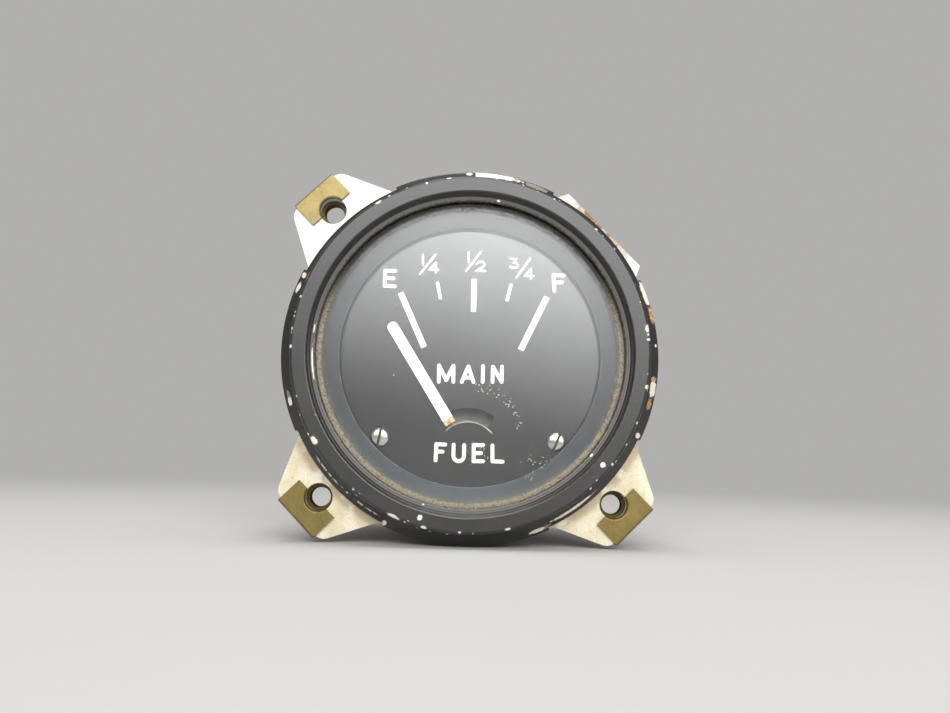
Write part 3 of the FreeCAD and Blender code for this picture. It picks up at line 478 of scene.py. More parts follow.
def print_paint():
    """Thick white print on the dial."""
    f = Finish("print_paint")
    cloud = f.noise(1.6, 3.0, 0.6)
    fine = f.noise(0.2, 2.0, 0.6)
    colour = f.blend(tone(246, 245, 240), tone(228, 227, 220), cloud)
    shader = f.principled(
        Base_Color=colour,
        Roughness=0.55 + fine * 0.1,
        Normal=f.relief(fine, 0.01),
    )
    return f.done(shader)


def pointer_paint():
    """White paint on the blade and the arm, bare metal at the step through the slot."""
    f = Finish("pointer_paint")
    reach = f.radius(0.0, PIVOT_Z)
    ragged = f.noise(0.7, 3.0, 0.6)
    cloud = f.noise(2.5, 3.0, 0.6)
    bare = (reach + (ragged - 0.5) * 0.4).under(6.45, 0.12)
    lines = (f.y * 9.0 + ragged * 3.0).math("SINE").over(0.2, 0.6)
    white = f.blend(tone(252, 252, 249), tone(238, 236, 230), cloud)
    brown = f.blend(tone(196, 170, 132), tone(142, 118, 86), lines)
    shader = f.principled(
        Base_Color=f.blend(white, brown, bare),
        Metallic=bare * 0.5,
        Roughness=0.5 - bare * 0.12,
        Normal=f.relief(ragged, 0.01),
    )
    return f.done(shader)


def plated_flange():
    """Dull plated metal, creamy and speckled at the lower ears, with painted shade next to the
    bezel there, rusty at the cut ear.
    """
    f = Finish("plated_flange")
    low = f.z.under(6.0, 14.0)
    bearing = f.bearing()
    cut_ear = bearing.within(22.0, 68.0, 2.0)
    cloud = f.noise(3.2, 4.0, 0.6)
    grain = f.noise(0.32, 3.0, 0.7)
    silver = f.blend(tone(250, 250, 247), tone(236, 235, 230), cloud)
    cream = f.blend(tone(246, 240, 220), tone(226, 212, 176), cloud.over(0.5, 0.4))
    colour = f.blend(silver, cream, low)
    mottle = grain.over(0.56, 0.12) * low
    colour = f.blend(colour, tone(206, 188, 148), mottle * 0.45)
    # painted shade: the lower ears are painted brownish and darker next to the bezel, where its
    # shadow falls
    shade_by_bezel = f.radius().under(31.6, 1.2) * low
    colour = f.blend(colour, tone(150, 128, 84), shade_by_bezel * cloud.over(0.42, 0.2) * 0.5)
    stains = f.specks(0.9, 0.12, 2.0) * low * f.noise(2.5, 2.0, 0.5, shift=5.0).over(0.55, 0.1)
    colour = f.blend(colour, tone(120, 88, 56), stains * 0.7)
    middle = bearing.within(34.0, 54.0, 8.0)
    rust = f.noise(1.2, 4.0, 0.7, shift=3.0).over(0.48, 0.14) * cut_ear * (0.15 + middle * 0.85)
    colour = f.blend(colour, tone(222, 214, 190), cut_ear * 0.5)
    colour = f.blend(colour, tone(142, 108, 66), rust.either(middle * cut_ear * 0.6))
    shader = f.principled(
        Base_Color=colour,
        Metallic=0.25 - low * 0.1,
        Roughness=0.42 + grain * 0.2,
        Normal=f.relief(grain, 0.02),
    )
    return f.done(shader)


def clip_brass():
    """Olive brass with dull tarnish, painted darker round the thread as shade inside the hole."""
    f = Finish("clip_brass")
    cloud = f.noise(2.4, 4.0, 0.6)
    grain = f.noise(0.3, 3.0, 0.7)
    front = f.y.under(-0.3, 0.1)
    upper = f.z.over(0.0, 4.0)
    olive = f.blend(tone(150, 132, 80), tone(118, 102, 58), cloud)
    # painted light: the upper clip is painted lighter, as lit from above
    colour = f.blend(olive, tone(186, 170, 122), upper * 0.4)
    colour = f.blend(colour, tone(92, 78, 46), grain.over(0.6, 0.12) * cloud.over(0.5, 0.2) * 0.5)
    # painted shade: everything behind the front face is painted dark, as the shade inside the hole
    colour = f.blend(colour, tone(60, 55, 40), (1 - front) * 0.75)
    shader = f.principled(
        Base_Color=colour,
        Metallic=0.75,
        Roughness=0.42 + cloud * 0.15,
        Normal=f.relief(grain + cloud, 0.02),
    )
    return f.done(shader)


def case_enamel():
    """Satin black enamel on drawn steel, with handling marks."""
    f = Finish("case_enamel")
    cloud = f.noise(9.0, 4.0, 0.6)
    fine = f.noise(0.5, 3.0, 0.6)
    worn = f.noise(3.0, 5.0, 0.7, (1.0, 0.3, 1.0), 5.0).over(0.6, 0.08)
    rubbed = f.radius().over(26.9, 0.3) * worn
    colour = f.blend(tone(34, 33, 33), tone(50, 48, 46), cloud)
    colour = f.blend(colour, tone(104, 98, 90), rubbed * 0.5)
    shader = f.principled(
        Base_Color=colour,
        Roughness=0.36 + cloud * 0.16,
        Normal=f.relief(fine, 0.02),
    )
    return f.done(shader)


def metal(name, light, dark, rough, grain_size=0.4, stretch=(1.0, 1.0, 1.0), metallic=1.0):
    """Plain metal with fine tool marks and light tarnish."""
    f = Finish(name)
    cloud = f.noise(3.0, 4.0, 0.6)
    marks = f.noise(grain_size, 3.0, 0.6, stretch)
    colour = f.blend(light, dark, cloud.over(0.5, 0.5))
    colour = f.blend(colour, dark, marks.over(0.6, 0.15) * 0.4)
    shader = f.principled(
        Base_Color=colour,
        Metallic=metallic,
        Roughness=rough + (marks - 0.5) * 0.2,
        Normal=f.relief(marks, 0.01),
    )
    return f.done(shader)


def moulding(name, light, dark, rough, size=1.5):
    """Moulded or pressed insulating material with a mottled surface."""
    f = Finish(name)
    cloud = f.noise(size, 4.0, 0.65)
    fibres = f.noise(0.4, 3.0, 0.7, (0.3, 1.0, 1.0))
    colour = f.blend(light, dark, cloud)
    colour = f.blend(colour, light, fibres.over(0.58, 0.1) * 0.4)
    shader = f.principled(
        Base_Color=colour,
        Roughness=rough + (fibres - 0.5) * 0.2,
        Normal=f.relief(fibres, 0.02),
    )
    return f.done(shader)


def wound_wire(name, light, dark, across, pitch, rough, metallic):
    """Turns of fine wire laid side by side, painted light on each crest and dark in the grooves as
    shade. Across gives the direction that crosses the turns.
    """
    f = Finish(name)
    side = abs(f.x * across[0]) + f.z * across[1]
    turn = (side * (1 / pitch)).math("FRACT")
    ridge = 1 - abs(turn * 2 - 1) ** 2
    cloud = f.noise(2.0, 3.0, 0.6)
    # painted shade and highlight: light on each turn's crest, dark in the groove between turns
    colour = f.blend(dark, light, ridge)
    colour = f.blend(colour, dark, cloud.over(0.58, 0.2) * 0.4)
    shader = f.principled(
        Base_Color=colour,
        Metallic=metallic,
        Roughness=rough + (cloud - 0.5) * 0.1,
        Normal=f.relief(ridge, pitch / 2),
    )
    return f.done(shader)


def braided_sleeve():
    """Black varnished sleeve with a fine weave."""
    f = Finish("lead_cover")
    weave = (f.y * 2.2).math("SINE") * (f.z * 5.0 + f.x * 5.0).math("SINE")
    cloud = f.noise(1.5, 3.0, 0.6)
    colour = f.blend(tone(52, 50, 46), tone(84, 80, 72), weave.over(0.2, 0.6))
    colour = f.blend(colour, tone(38, 36, 33), cloud * 0.5)
    shader = f.principled(
        Base_Color=colour,
        Roughness=0.38 + cloud * 0.15,
        Normal=f.relief(weave, 0.04),
    )
    return f.done(shader)


def plate_with_painted_shade():
    """Rolled sheet. The front of the movement plate is painted near black as shade, as seen in the
    slot.
    """
    f = Finish("plate_metal")
    cloud = f.noise(3.0, 4.0, 0.6)
    marks = f.noise(0.3, 3.0, 0.6, (0.2, 1.0, 3.0))
    front = f.y.under(6.2, 0.1)
    colour = f.blend(tone(204, 204, 200), tone(168, 168, 164), cloud.over(0.5, 0.5))
    dark = f.blend(tone(30, 24, 17), tone(20, 17, 13), marks)
    # painted shade: the front face of the movement plate is painted near black for the shade inside
    # the case
    colour = f.blend(colour, dark, front)
    shader = f.principled(
        Base_Color=colour,
        Metallic=1 - front,
        Roughness=0.36 + (marks - 0.5) * 0.2 + front * 0.2,
        Normal=f.relief(marks, 0.01),
    )
    return f.done(shader)


# bare metal on the bezel: bearing, radius, and half the size each way
BARE_SPOTS = [
    (4.6, 30.25, 9.6, 0.5), (358.0, 30.3, 1.0, 0.3), (44.0, 28.85, 4.5, 0.24),
    (69.2, 30.3, 3.9, 0.42), (81.2, 28.15, 1.3, 0.42), (84.8, 28.1, 0.4, 0.34),
    (85.8, 30.2, 0.5, 0.18), (89.6, 28.7, 0.4, 0.25), (99.3, 30.0, 2.7, 0.5),
    (100.2, 28.2, 0.7, 0.34), (109.4, 28.65, 2.1, 0.26), (114.6, 29.9, 0.9, 0.4),
    (119.6, 28.6, 1.1, 0.22), (129.6, 27.05, 0.85, 0.42), (129.4, 24.9, 0.8, 0.16),
    (145.3, 29.6, 7.6, 0.2), (158.0, 30.0, 2.4, 0.25), (167.0, 28.1, 0.9, 0.2),
    (193.3, 28.2, 0.95, 0.25), (195.3, 26.9, 0.85, 0.42), (195.6, 24.95, 0.5, 0.14),
    (199.4, 28.4, 0.35, 0.2), (203.4, 28.2, 1.9, 0.28), (205.4, 30.1, 0.7, 0.4),
    (238.4, 28.0, 1.4, 0.5), (241.0, 28.4, 0.5, 0.2), (244.0, 28.6, 0.5, 0.2),
    (246.0, 28.6, 0.35, 0.2), (253.4, 29.9, 1.3, 0.34), (269.6, 28.35, 0.6, 0.34),
    (275.4, 28.4, 0.6, 0.3), (279.4, 28.4, 0.35, 0.28), (280.8, 28.4, 0.3, 0.22),
    (287.6, 28.55, 4.4, 0.13), (289.6, 30.1, 1.8, 0.3), (293.8, 30.1, 1.0, 0.36),
    (264.0, 25.0, 6.5, 0.12), (276.8, 25.0, 1.6, 0.1), (326.6, 28.25, 1.1, 0.34),
    (337.0, 28.4, 0.3, 0.2), (351.2, 28.35, 0.8, 0.24), (8.8, 25.0, 0.6, 0.16),
]
RUST_SPOTS = [
    (20.0, 30.1, 3.6, 0.35), (44.0, 28.9, 9.0, 0.3), (76.2, 30.35, 2.8, 0.42),
    (104.3, 29.95, 1.9, 0.36), (149.5, 29.6, 3.0, 0.25), (157.0, 30.0, 3.2, 0.3),
    (254.6, 29.9, 1.9, 0.3), (96.4, 30.0, 0.8, 0.45),
]

finishes = {
    "bezel_enamel": bezel_enamel(),
    "black_rubber": aged_rubber(),
    "clear_glass": clear_glass(),
    "reflector_paint": reflector_paint(),
    "dial_paint": dial_paint(),
    "nickel_screws": metal("nickel_screws", tone(236, 234, 226), tone(196, 192, 180), rough=0.13),
    "plated_flange": plated_flange(),
    "clip_brass": clip_brass(),
    "case_paint": case_enamel(),
    "post_brass": metal(
        "post_brass", tone(212, 182, 118), tone(164, 132, 76),
        rough=0.3, grain_size=0.3, stretch=(0.3, 3.0, 0.3),
    ),
    "plate_metal": plate_with_painted_shade(),
    "bearing_bronze": metal("bearing_bronze", tone(196, 154, 104), tone(142, 102, 62), 0.32),
    "soft_iron": metal("soft_iron", tone(150, 147, 143), tone(104, 100, 96), 0.45, 0.5),
    "bobbin_plastic": moulding("bobbin_plastic", tone(92, 62, 44), tone(66, 42, 30), 0.35),
    "copper_wire": wound_wire(
        "copper_wire", tone(184, 104, 62), tone(104, 48, 26),
        across=(0.7071, -0.7071), pitch=0.35, rough=0.32, metallic=0.6,
    ),
    "fibre_board": moulding("fibre_board", tone(150, 78, 56), tone(116, 54, 40), 0.6),
    "resistance_wire": wound_wire(
        "resistance_wire", tone(190, 182, 170), tone(96, 88, 78),
        across=(1.0, 0.0), pitch=0.3, rough=0.35, metallic=0.9,
    ),
    "washer_steel": metal("washer_steel", tone(196, 194, 188), tone(150, 146, 138), 0.34),
    "terminal_brass": metal("terminal_brass", tone(206, 178, 116), tone(150, 124, 74), 0.3),
    "lead_cover": braided_sleeve(),
    "pointer_paint": pointer_paint(),
    "staff_steel": metal(
        "staff_steel", tone(208, 208, 208), tone(170, 170, 170),
        rough=0.22, grain_size=0.2, stretch=(1.0, 4.0, 1.0),
    ),
}
GRIME = metal("slot_grime", tone(58, 54, 46), tone(24, 22, 19), rough=0.5, metallic=0.3)
PRINT = print_paint()
DIRT = glass_dirt()

for subpart in frame["record"]["subparts"]:
    for holder in frame["nodes"][subpart["node"]].material_slots:
        holder.material = finishes[subpart["material_slot"]]


# Pieces -----------------------------------------------------------------------------------------


def face_outwards(mesh):
    """Turns every face of a closed mesh so that it looks out."""
    shape = bmesh.new()
    shape.from_mesh(mesh)
    bmesh.ops.recalc_face_normals(shape, faces=shape.faces)
    shape.to_mesh(mesh)
    shape.free()


def piece(name, form, material, body="case", sharp=32.0, closed=True):
    """A mesh in the part's own frame, from a form in millimetres."""
    mesh = form.mesh(name)
    mesh.validate()
    if closed:
        face_outwards(mesh)
    mesh.shade_smooth()
    mesh.set_sharp_from_angle(angle=math.radians(sharp))
    made = bpy.data.objects.new(name, mesh)
    bpy.context.scene.collection.objects.link(made)
    mesh.materials.append(material)
    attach(made, body)
    return made


class Form:
    """Points and faces that are gathered for one piece."""

    def __init__(self):
        self.points = []
        self.faces = []

    def mesh(self, name):
        made = bpy.data.meshes.new(name)
        made.from_pydata([Vector(point) * MM for point in self.points], [], self.faces)
        return made

    def loops(self, rings, closed_across=False):
        """Joins closed rings of points into a skin. A ring of one point is a pole."""
        starts = []
        for ring in rings:
            starts.append(len(self.points))
            self.points.extend(ring)
        pairs = list(zip(range(len(rings)), range(1, len(rings))))
        if closed_across:
            pairs.append((len(rings) - 1, 0))
        for near, far in pairs:
            count = max(len(rings[near]), len(rings[far]))
            for step in range(count):
                following = (step + 1) % count
                corners = []
                for ring, place in ((near, step), (near, following), (far, following), (far, step)):
                    corner = starts[ring] + (place if len(rings[ring]) > 1 else 0)
                    if corner not in corners:
                        corners.append(corner)
                if len(corners) > 2:
                    self.faces.append(corners)


def turned_rings(profile, x, z, count):
    """Rings round an axis along the case, from (radius, y) pairs. A radius of 0 gives one point."""
    angles = [2 * math.pi * step / count for step in range(count)]
    return [
        [(x + radius * math.cos(a), y, z + radius * math.sin(a)) for a in angles]
        if radius else [(x, y, z)]
        for radius, y in profile
    ]


def cut_slots(screws, places, y, width, depth, length, turns):
    """Cuts a straight slot across each screw head. Turns are in degrees."""
    form = Form()
    for (x, z), turn in zip(places, turns):
        angle = math.radians(turn)
        along = Vector((math.cos(angle), 0, math.sin(angle))) * length
        across = Vector((-math.sin(angle), 0, math.cos(angle))) * (width / 2)
        middle = Vector((x, y, z))
        back = Vector((0, depth, 0))
        corners = [along + across, across - along, -along - across, along - across]
        form.loops([
            [middle + back], [middle + back + c for c in corners],
            [middle - back + c for c in corners], [middle - back],
        ])
    mesh = form.mesh("slot_cutter")
    face_outwards(mesh)
    mesh.materials.append(finishes["nickel_screws"])
    mesh.materials.append(GRIME)
    for face in mesh.polygons:
        face.material_index = 1
    screws.data.materials.append(GRIME)
    cutter = bpy.data.objects.new("slot_cutter", mesh)
    bpy.context.scene.collection.objects.link(cutter)
    change = screws.modifiers.new("slots", "BOOLEAN")
    change.operation = "DIFFERENCE"
    change.solver = "EXACT"
    change.object = cutter
    bpy.context.view_layer.update()
    seen = screws.evaluated_get(bpy.context.evaluated_depsgraph_get())
    cut_mesh = bpy.data.meshes.new_from_object(seen)
    screws.modifiers.remove(change)
    screws.data = cut_mesh
    cut_mesh.shade_smooth()
    cut_mesh.set_sharp_from_angle(angle=math.radians(32.0))
    bpy.data.objects.remove(cutter)


def slotted_screws(node, places, seat, back, head, shank, height, reach, slot_width, turns):
    """Domed slotted screws in place of a node's plain ones. Back is 1 for shanks to the rear."""
    form = Form()
    rise = height * 0.5
    for x, z in places:
        profile = [(0, seat + back * reach), (shank * 0.8, seat + back * reach)]
        profile += [(shank, seat + back * (reach - 0.25)), (shank, seat), (head * 0.96, seat)]
        profile += [(head, seat - back * 0.08), (head, seat - back * rise)]
        for step in range(1, 9):
            lean = math.radians(step * 10)
            dome = height - rise
            profile.append((head * math.cos(lean), seat - back * (rise + dome * math.sin(lean))))
        profile.append((0, seat - back * height))
        form.loops(turned_rings(profile, x, z, 48))
    screws = piece(node + "_slotted", form, finishes["nickel_screws"])
    cut_slots(screws, places, seat - back * height, slot_width, height * 0.55, head * 1.3, turns)
    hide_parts(node)


def thread_radius(turn, major, minor):
    """Radius of a thread's flank where it has made that share of a turn."""
    share = turn % 1.0
    fall = 1 - abs(2 * share - 1)
    return major - (major - minor) * min(1.0, max(0.0, (fall - THREAD_CREST) / THREAD_FLANK))


def threaded_stud(node, x):
    """A brass terminal stud with its round head inside the case."""
    form = Form()
    rings = turned_rings(STUD_HEAD, x, 0.0, STUD_POINTS)
    rows = int((STUD_END - THREAD_START) / STUD_PITCH * STUD_ROWS_PER_TURN)
    for row in range(1, rows + 1):
        y = THREAD_START + (STUD_END - THREAD_START) * row / rows
        ring = []
        for step in range(STUD_POINTS):
            angle = 2 * math.pi * step / STUD_POINTS
            turn = y / STUD_PITCH - step / STUD_POINTS
            radius = thread_radius(turn, STUD_MAJOR, STUD_MINOR)
            radius = min(radius, STUD_MAJOR - STUD_CHAMFER + (STUD_END - y))
            ring.append((x + radius * math.cos(angle), y, radius * math.sin(angle)))
        rings.append(ring)
    rings.append([(x, STUD_END, 0.0)])
    form.loops(rings)
    stud = piece(node + "_threaded", form, finishes["terminal_brass"])
    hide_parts(node)


def hex_nuts(node, low, high):
    """A pair of chamfered nuts on the studs."""
    count = 96
    form = Form()
    for x in TERMINALS:
        rings = [[] for _ in range(8)]
        for step in range(count):
            angle = 2 * math.pi * step / count
            side = NUT_APOTHEM / math.cos(angle % math.radians(60) - math.radians(30))
            drop = max(0.0, side - NUT_FLAT) * CHAMFER_SLOPE
            levels = (
                (NUT_BORE, low + NUT_MOUTH_DEPTH), (NUT_MOUTH, low),
                (NUT_FLAT, low), (side, low + drop),
                (side, high - drop), (NUT_FLAT, high),
                (NUT_MOUTH, high), (NUT_BORE, high - NUT_MOUTH_DEPTH),
            )
            for ring, (radius, y) in zip(rings, levels):
                ring.append((x + radius * math.cos(angle), y, radius * math.sin(angle)))
        form.loops(rings, closed_across=True)
    brass = finishes["terminal_brass"]
    nuts = piece(node + "_chamfered", form, brass, sharp=24.0)
    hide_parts(node)


def lock_washers(node, low, high):
    """A pair of split spring washers under the terminal nuts."""
    count = 60
    section = (
        (WASHER_BORE, low), (WASHER_EDGE, low), (WASHER_RADIUS, low + WASHER_ROUND),
        (WASHER_RADIUS, high - WASHER_ROUND), (WASHER_EDGE, high), (WASHER_BORE, high),
    )
    sweep = 2 * math.pi - math.radians(WASHER_GAP)
    form = Form()
    for x, turn in zip(TERMINALS, (0.4, 2.3)):
        sections = []
        for step in range(count + 1):
            angle = turn + math.radians(WASHER_GAP / 2) + sweep * step / count
            for radius, y in section:
                sections.append((x + radius * math.cos(angle), y, radius * math.sin(angle)))
        base = len(form.points)
        form.points.extend(sections)
        for step in range(count):
            for side in range(6):
                near = base + step * 6
                beside = (side + 1) % 6
                form.faces.append((near + side, near + beside, near + 6 + beside, near + 6 + side))
        form.faces.append(tuple(base + side for side in range(6)))
        form.faces.append(tuple(base + count * 6 + side for side in reversed(range(6))))
    washers = piece(node + "_split", form, finishes["washer_steel"])
    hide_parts(node)


def clip_thread(name, x, z):
    """The ridge of the thread inside a clip's collar."""
    wall, foot = CLIP_THREAD_WALL, CLIP_THREAD_FOOT
    turns = (CLIP_THREAD_HIGH - CLIP_THREAD_LOW) / CLIP_THREAD_PITCH
    steps = int(turns * CLIP_THREAD_POINTS)
    form = Form()
    for step in range(steps + 1):
        angle = 2 * math.pi * step / CLIP_THREAD_POINTS
        y = CLIP_THREAD_LOW + CLIP_THREAD_PITCH * step / CLIP_THREAD_POINTS
        run_in = min(1.0, step / CLIP_THREAD_RUN_IN, (steps - step) / CLIP_THREAD_RUN_IN)
        rise = CLIP_THREAD_RISE * run_in
        for radius, shift in ((wall, -foot), (wall - 0.01 - rise, 0.0), (wall, foot)):
            point = (x + radius * math.cos(angle), y + shift, z + radius * math.sin(angle))
            form.points.append(point)
    for step in range(steps):
        for side in range(2):
            near = step * 3 + side
            form.faces.append((near, near + 1, near + 4, near + 3))
    piece(name, form, finishes["clip_brass"], closed=False)


slotted_screws(
    "dial_screws", DIAL_SCREWS, seat=DIAL_FACE, back=1, head=1.55, shank=0.9, height=0.9, reach=2.6,
    slot_width=0.42, turns=(80, 68),
)
slotted_screws(
    "case_screws", BACK_POSTS, seat=38.0, back=-1, head=2.7, shank=1.2, height=1.0, reach=5.1,
    slot_width=0.6, turns=(25, 118, -12),
)
slotted_screws(
    "plate_screws", BACK_POSTS, seat=6.2, back=1, head=2.1, shank=1.2, height=1.0, reach=5.7,
    slot_width=0.5, turns=(70, 10, -40),
)
slotted_screws(
    "bridge_screws", BRIDGE_SCREWS, seat=22.5, back=-1, head=2.1, shank=1.2, height=1.0, reach=5.7,
    slot_width=0.5, turns=(50, -20),
)
for terminal_node, terminal_x in zip(("sender_stud", "supply_stud"), TERMINALS):
    threaded_stud(terminal_node, terminal_x)
hex_nuts("clamp_nuts", low=39.4, high=42.6)
hex_nuts("terminal_nuts", low=43.5, high=46.7)
lock_washers("terminal_washers", low=42.6, high=43.5)
clip_thread("thread_in_upper_left_clip", -EAR_HOLE, EAR_HOLE)
clip_thread("thread_in_lower_left_clip", -EAR_HOLE, -EAR_HOLE)
clip_thread("thread_in_lower_right_clip", EAR_HOLE, -EAR_HOLE)


def dirt_on_glass():
    """A thin film on the front of the glass that carries its dust."""
    count = 180
    form = Form()
    level = GLASS_FRONT - 0.01
    rings = [[(0.0, level, 0.0)]]
    for radius in (6.0, 12.0, 18.0, 21.5, 23.0, GLASS_SHOWS):
        angles = [-2 * math.pi * step / count for step in range(count)]
        rings.append([(radius * math.cos(a), level, radius * math.sin(a)) for a in angles])
    form.loops(rings)
    piece("glass_dust", form, DIRT, closed=False)


dirt_on_glass()


# Dial print -------------------------------------------------------------------------------------


class DialPrint:
    """The raised print of the dial, built of strokes with round or square ends."""

    def __init__(self):
        self.form = Form()
        self.strokes = 0

    def stroke(self, line, width, rounded=True):
        """A ribbon along a line of (x, z) points."""
        self.strokes += 1
        face = DIAL_FACE - PRINT_HEIGHT - PRINT_STEP * (self.strokes % 7)
        half = width / 2
        points = [Vector(point) for point in line]
        left, right = [], []
        for place, point in enumerate(points):
            before = points[max(place - 1, 0)]
            after = points[min(place + 1, len(points) - 1)]
            run = (after - before).normalized()
            side = Vector((-run.y, run.x)) * half
            left.append(point + side)
            right.append(point - side)
        outline = list(left)
        if rounded:
            outline += self.cap(points[-1], points[-1] - points[-2], half)
        outline += list(reversed(right))
        if rounded:
            outline += self.cap(points[0], points[0] - points[1], half)
        top = [(p.x, face, p.y) for p in outline]
        inner = [(p.x, DIAL_FACE + 0.02, p.y) for p in outline]
        base = len(self.form.points)
        count = len(outline)
        self.form.points.extend(top + inner)
        edge = len(left)
        for step in range(edge - 1):
            cap_points = count // 2 - edge
            far = edge + cap_points + (edge - 1 - step)
            self.form.faces.append((base + step, base + step + 1, base + far - 1, base + far))
        if rounded:
            caps = count // 2 - edge
            far_cap = range(edge - 1, edge + caps + 1)
            near_cap = range(count - caps - 1, count + 1)
            self.form.faces.append([base + place for place in far_cap])
            self.form.faces.append([base + place % count for place in near_cap])
        for step in range(count):
            following = (step + 1) % count
            low = base + count
            self.form.faces.append((base + step, low + step, low + following, base + following))

    def cap(self, end, run, half):
        """Points of a round end, without the two corners it joins."""
        start = math.atan2(run.y, run.x) + math.pi / 2
        steps = 8
        turns = [start - math.pi * step / steps for step in range(1, steps)]
        return [end + Vector((math.cos(turn), math.sin(turn))) * half for turn in turns]

    def arc(self, centre, across, upright, start, end, count=14):
        """Points on an oval arc, in degrees from the right, counted up to the top."""
        turns = [math.radians(start + (end - start) * step / count) for step in range(count + 1)]
        middle_x, middle_z = centre
        return [
            (middle_x + across * math.cos(turn), middle_z + upright * math.sin(turn))
            for turn in turns
        ]

    def mark(self, degrees, inner, width):
        """A scale mark that points at the pivot."""
        lean = math.radians(degrees)
        line = [
            (PIVOT_X + reach * math.sin(lean), PIVOT_Z + reach * math.cos(lean))
            for reach in (inner, MARK_END)
        ]
        self.stroke(line, width, rounded=False)


scale = DialPrint()
scale.mark(-25.0, 18.9, 1.0)
scale.mark(25.0, 18.9, 1.0)
scale.mark(0.0, 23.3, 0.9)
scale.mark(-12.35, 25.9, 0.55)
scale.mark(12.35, 25.9, 0.55)

# E
scale.stroke([(-14.62, 13.95), (-14.6, 11.35)], BOLD)
scale.stroke([(-14.62, 13.95), (-12.93, 13.95)], BOLD)
scale.stroke([(-14.6, 12.68), (-13.2, 12.66)], BOLD)
scale.stroke([(-14.58, 11.37), (-12.9, 11.32)], BOLD)
# F
scale.stroke([(13.56, 14.06), (13.76, 11.42)], BOLD)
scale.stroke([(13.56, 14.06), (15.28, 14.05)], BOLD)
scale.stroke([(13.66, 12.82), (15.0, 12.86)], BOLD)


def fraction_slash(upper, lower):
    scale.stroke([upper, lower], THIN)


def small_four(left, right, top, low):
    """A four whose upright stands near its right end."""
    upright = left + (right - left) * 0.7
    bar = low + (top - low) * 0.28
    scale.stroke([(upright, top), (upright + 0.05, low)], THIN)
    scale.stroke([(upright, top), (left + 0.05, bar)], THIN)
    scale.stroke([(left + 0.05, bar), (right, bar)], THIN)


# one quarter
fraction_slash((-6.36, 16.9), (-8.76, 13.62))
scale.stroke([(-8.42, 16.8), (-8.35, 15.2)], THIN)
small_four(-7.27, -5.77, 15.55, 13.9)
# one half
fraction_slash((1.28, 17.68), (-1.07, 14.38))
scale.stroke([(-0.78, 17.5), (-0.7, 15.9)], THIN)
two = scale.arc((1.3, 15.52), 0.66, 0.48, 165.0, -30.0)
two += [(1.5, 14.95), (0.98, 14.6), (0.62, 14.36)]
scale.stroke(two, THIN)
scale.stroke([(0.66, 14.38), (2.14, 14.42)], THIN)
# three quarters
fraction_slash((9.6, 16.8), (7.37, 13.52))
scale.stroke([(6.3, 16.66), (7.42, 16.62), (6.85, 16.02)], THIN)
scale.stroke(scale.arc((6.85, 15.55), 0.66, 0.47, 95.0, -150.0), THIN)
small_four(8.68, 10.23, 14.95, 13.33)
# MAIN
scale.stroke([(-5.08, -4.42), (-5.13, -1.74)], BOLD)
scale.stroke([(-5.1, -1.76), (-3.88, -4.1)], BOLD)
scale.stroke([(-3.88, -4.1), (-2.76, -1.74)], BOLD)
scale.stroke([(-2.74, -1.74), (-2.68, -4.36)], BOLD)
scale.stroke([(-0.3, -1.78), (-1.3, -4.34)], BOLD)
scale.stroke([(-0.26, -1.78), (0.62, -4.3)], BOLD)
scale.stroke([(-0.95, -3.62), (0.3, -3.6)], BOLD)
scale.stroke([(2.14, -1.62), (2.14, -4.24)], BOLD)
scale.stroke([(3.76, -1.7), (3.76, -4.2)], BOLD)
scale.stroke([(3.78, -1.7), (5.24, -4.14)], BOLD)
scale.stroke([(5.26, -1.64), (5.26, -4.14)], BOLD)
# FUEL
scale.stroke([(-5.14, -14.62), (-5.18, -17.24)], BOLD)
scale.stroke([(-5.14, -14.64), (-3.7, -14.66)], BOLD)
scale.stroke([(-5.16, -15.82), (-4.1, -15.82)], BOLD)
bowl = [(-2.32, -14.66), (-2.32, -16.4)]
bowl += scale.arc((-1.45, -16.38), 0.87, 0.9, 190.0, 350.0)
bowl += [(-0.6, -16.4), (-0.6, -14.66)]
scale.stroke(bowl, BOLD)
scale.stroke([(0.95, -14.62), (0.98, -17.2)], BOLD)
scale.stroke([(0.95, -14.62), (2.46, -14.58)], BOLD)
scale.stroke([(0.96, -15.9), (2.16, -15.88)], BOLD)
scale.stroke([(0.98, -17.22), (2.52, -17.18)], BOLD)
scale.stroke([(3.99, -14.62), (4.05, -17.14)], BOLD)
scale.stroke([(4.05, -17.16), (5.7, -17.18)], BOLD)
piece("dial_print", scale.form, PRINT, sharp=60.0)


# Camera, floor and light ------------------------------------------------------------------------


def set_camera():
    ahead = (CAMERA_AIM - CAMERA_PLACE).normalized()
    level_right = ahead.cross(Vector((0, 0, 1))).normalized()
    level_up = level_right.cross(ahead)
    up = level_up * math.cos(CAMERA_ROLL) + level_right * math.sin(CAMERA_ROLL)
    right = ahead.cross(up)
    facing = Matrix((right, up, -ahead)).transposed().to_4x4()
    settings = bpy.data.cameras.new("camera")
    settings.lens = CAMERA_LENS
    settings.sensor_width = 36.0
    settings.clip_start = 0.005
    made = bpy.data.objects.new("camera", settings)
    made.matrix_world = Matrix.Translation(CAMERA_PLACE) @ facing
    bpy.context.scene.collection.objects.link(made)
    bpy.context.scene.camera = made


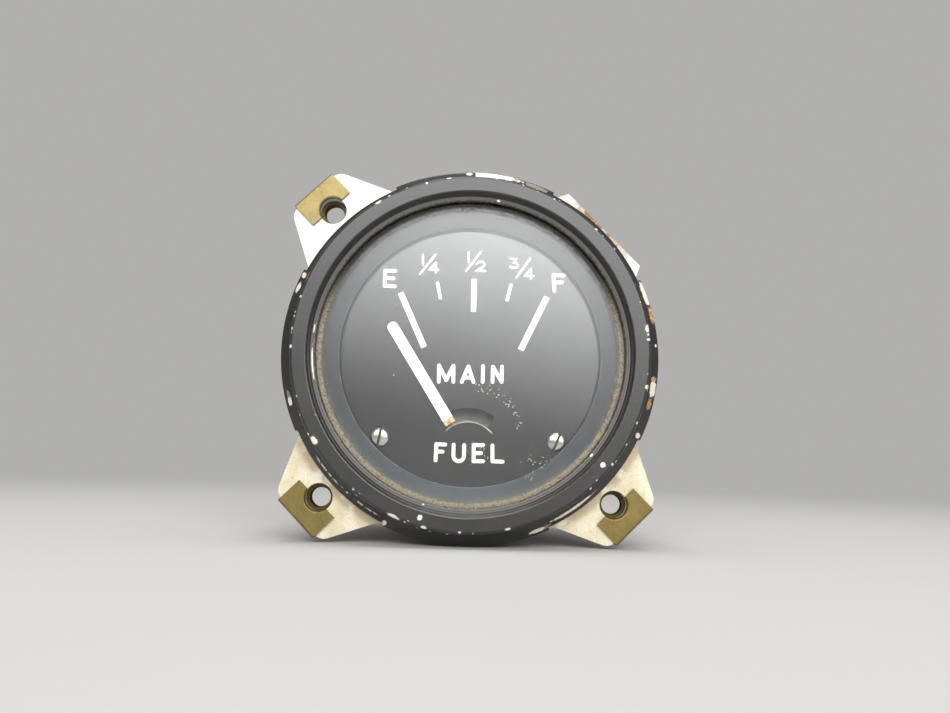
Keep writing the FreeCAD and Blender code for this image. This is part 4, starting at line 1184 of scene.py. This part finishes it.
def set_floor(level):
    """A level pale floor that runs out into the backdrop."""
    f = Finish("studio_floor")
    away = (f.x ** 2 + f.y ** 2) ** 0.5
    grain = f.noise(40.0, 2.0, 0.5)
    shade = f.blend(tone(214, 213, 210), tone(210, 209, 206), grain)
    matt = f.principled(Base_Color=shade, Roughness=0.95, Specular_IOR_Level=0.0)
    glow = f.node("Emission", {}, {"Color": PALE, "Strength": 1.0})
    stretch = {"Value": away, "From Min": FLOOR_PLAIN_TO, "From Max": FLOOR_GONE_FROM}
    far = f.node("MapRange", {"interpolation_type": "SMOOTHSTEP"}, stretch)
    f.done(f.node("MixShader", {}, (far * f.seen(), matt, glow)))
    half = FLOOR_HALF
    mesh = bpy.data.meshes.new("floor")
    sides = ((-half, -half), (half, -half), (half, half), (-half, half))
    corners = [(x, y, level) for x, y in sides]
    mesh.from_pydata(corners, [], [(0, 1, 2, 3)])
    mesh.materials.append(f.material)
    made = bpy.data.objects.new("floor", mesh)
    bpy.context.scene.collection.objects.link(made)


def set_world():
    """A pale surround that the camera, metal and glass see, over a softer even light."""
    world = bpy.data.worlds.new("studio")
    shading = Shading(world)
    even = shading.node("Background", {}, {"Color": EVEN})
    pale = shading.node("Background", {}, {"Color": PALE})
    mixed = shading.node("MixShader", {}, (shading.seen(), even, pale))
    shading.node("OutputWorld", {}, {"Surface": mixed})
    bpy.context.scene.world = world


def softbox(name, place, aim, width, height, radiance):
    """A soft rectangular lamp. Its power follows from how bright its face is."""
    settings = bpy.data.lights.new(name, "AREA")
    settings.shape = "RECTANGLE"
    settings.size = width
    settings.size_y = height
    settings.energy = radiance * math.pi * width * height
    made = bpy.data.objects.new(name, settings)
    made.location = Vector(place)
    made.rotation_euler = (Vector(aim) - Vector(place)).to_track_quat("-Z", "Y").to_euler()
    made.visible_camera = False
    bpy.context.scene.collection.objects.link(made)
    return settings


def fade_downwards(lamp, full, power):
    """Lets a lamp's face grow dark towards its lower edge. Full is the height where it is whole."""
    shading = Shading(lamp)
    face = shading.node("NewGeometry", {}, {}, "Parametric")
    across = shading.node("SeparateXYZ", {}, {0: face}, "X")
    up = shading.node("SeparateXYZ", {}, {0: face}, "Y")
    lit = across.math("MULTIPLY_ADD", LAMP_TILT, up)
    stretch = {"Value": lit, "From Min": LAMP_TILT / 2, "From Max": full + LAMP_TILT / 2}
    rise = shading.node("MapRange", {}, stretch)
    glow = shading.node("Emission", {}, {"Strength": rise ** power})
    shading.node("OutputLight", {}, {"Surface": glow})


set_camera()
set_floor(cad_box[0][2])
set_world()
front_lamp = softbox(
    "front_softbox", place=(0.04, -0.6, 0.26), aim=(0.04, 0.0, 0.26), width=0.8, height=0.52,
    radiance=5.2,
)
fade_downwards(front_lamp, LAMP_FULL, LAMP_POWER)
softbox(
    "top_softbox", place=(0.0, -0.1, 0.9), aim=(0.0, 0.0, 0.0), width=0.5, height=0.5, radiance=5.0,
)
bpy.context.scene.view_settings.view_transform = "Standard"
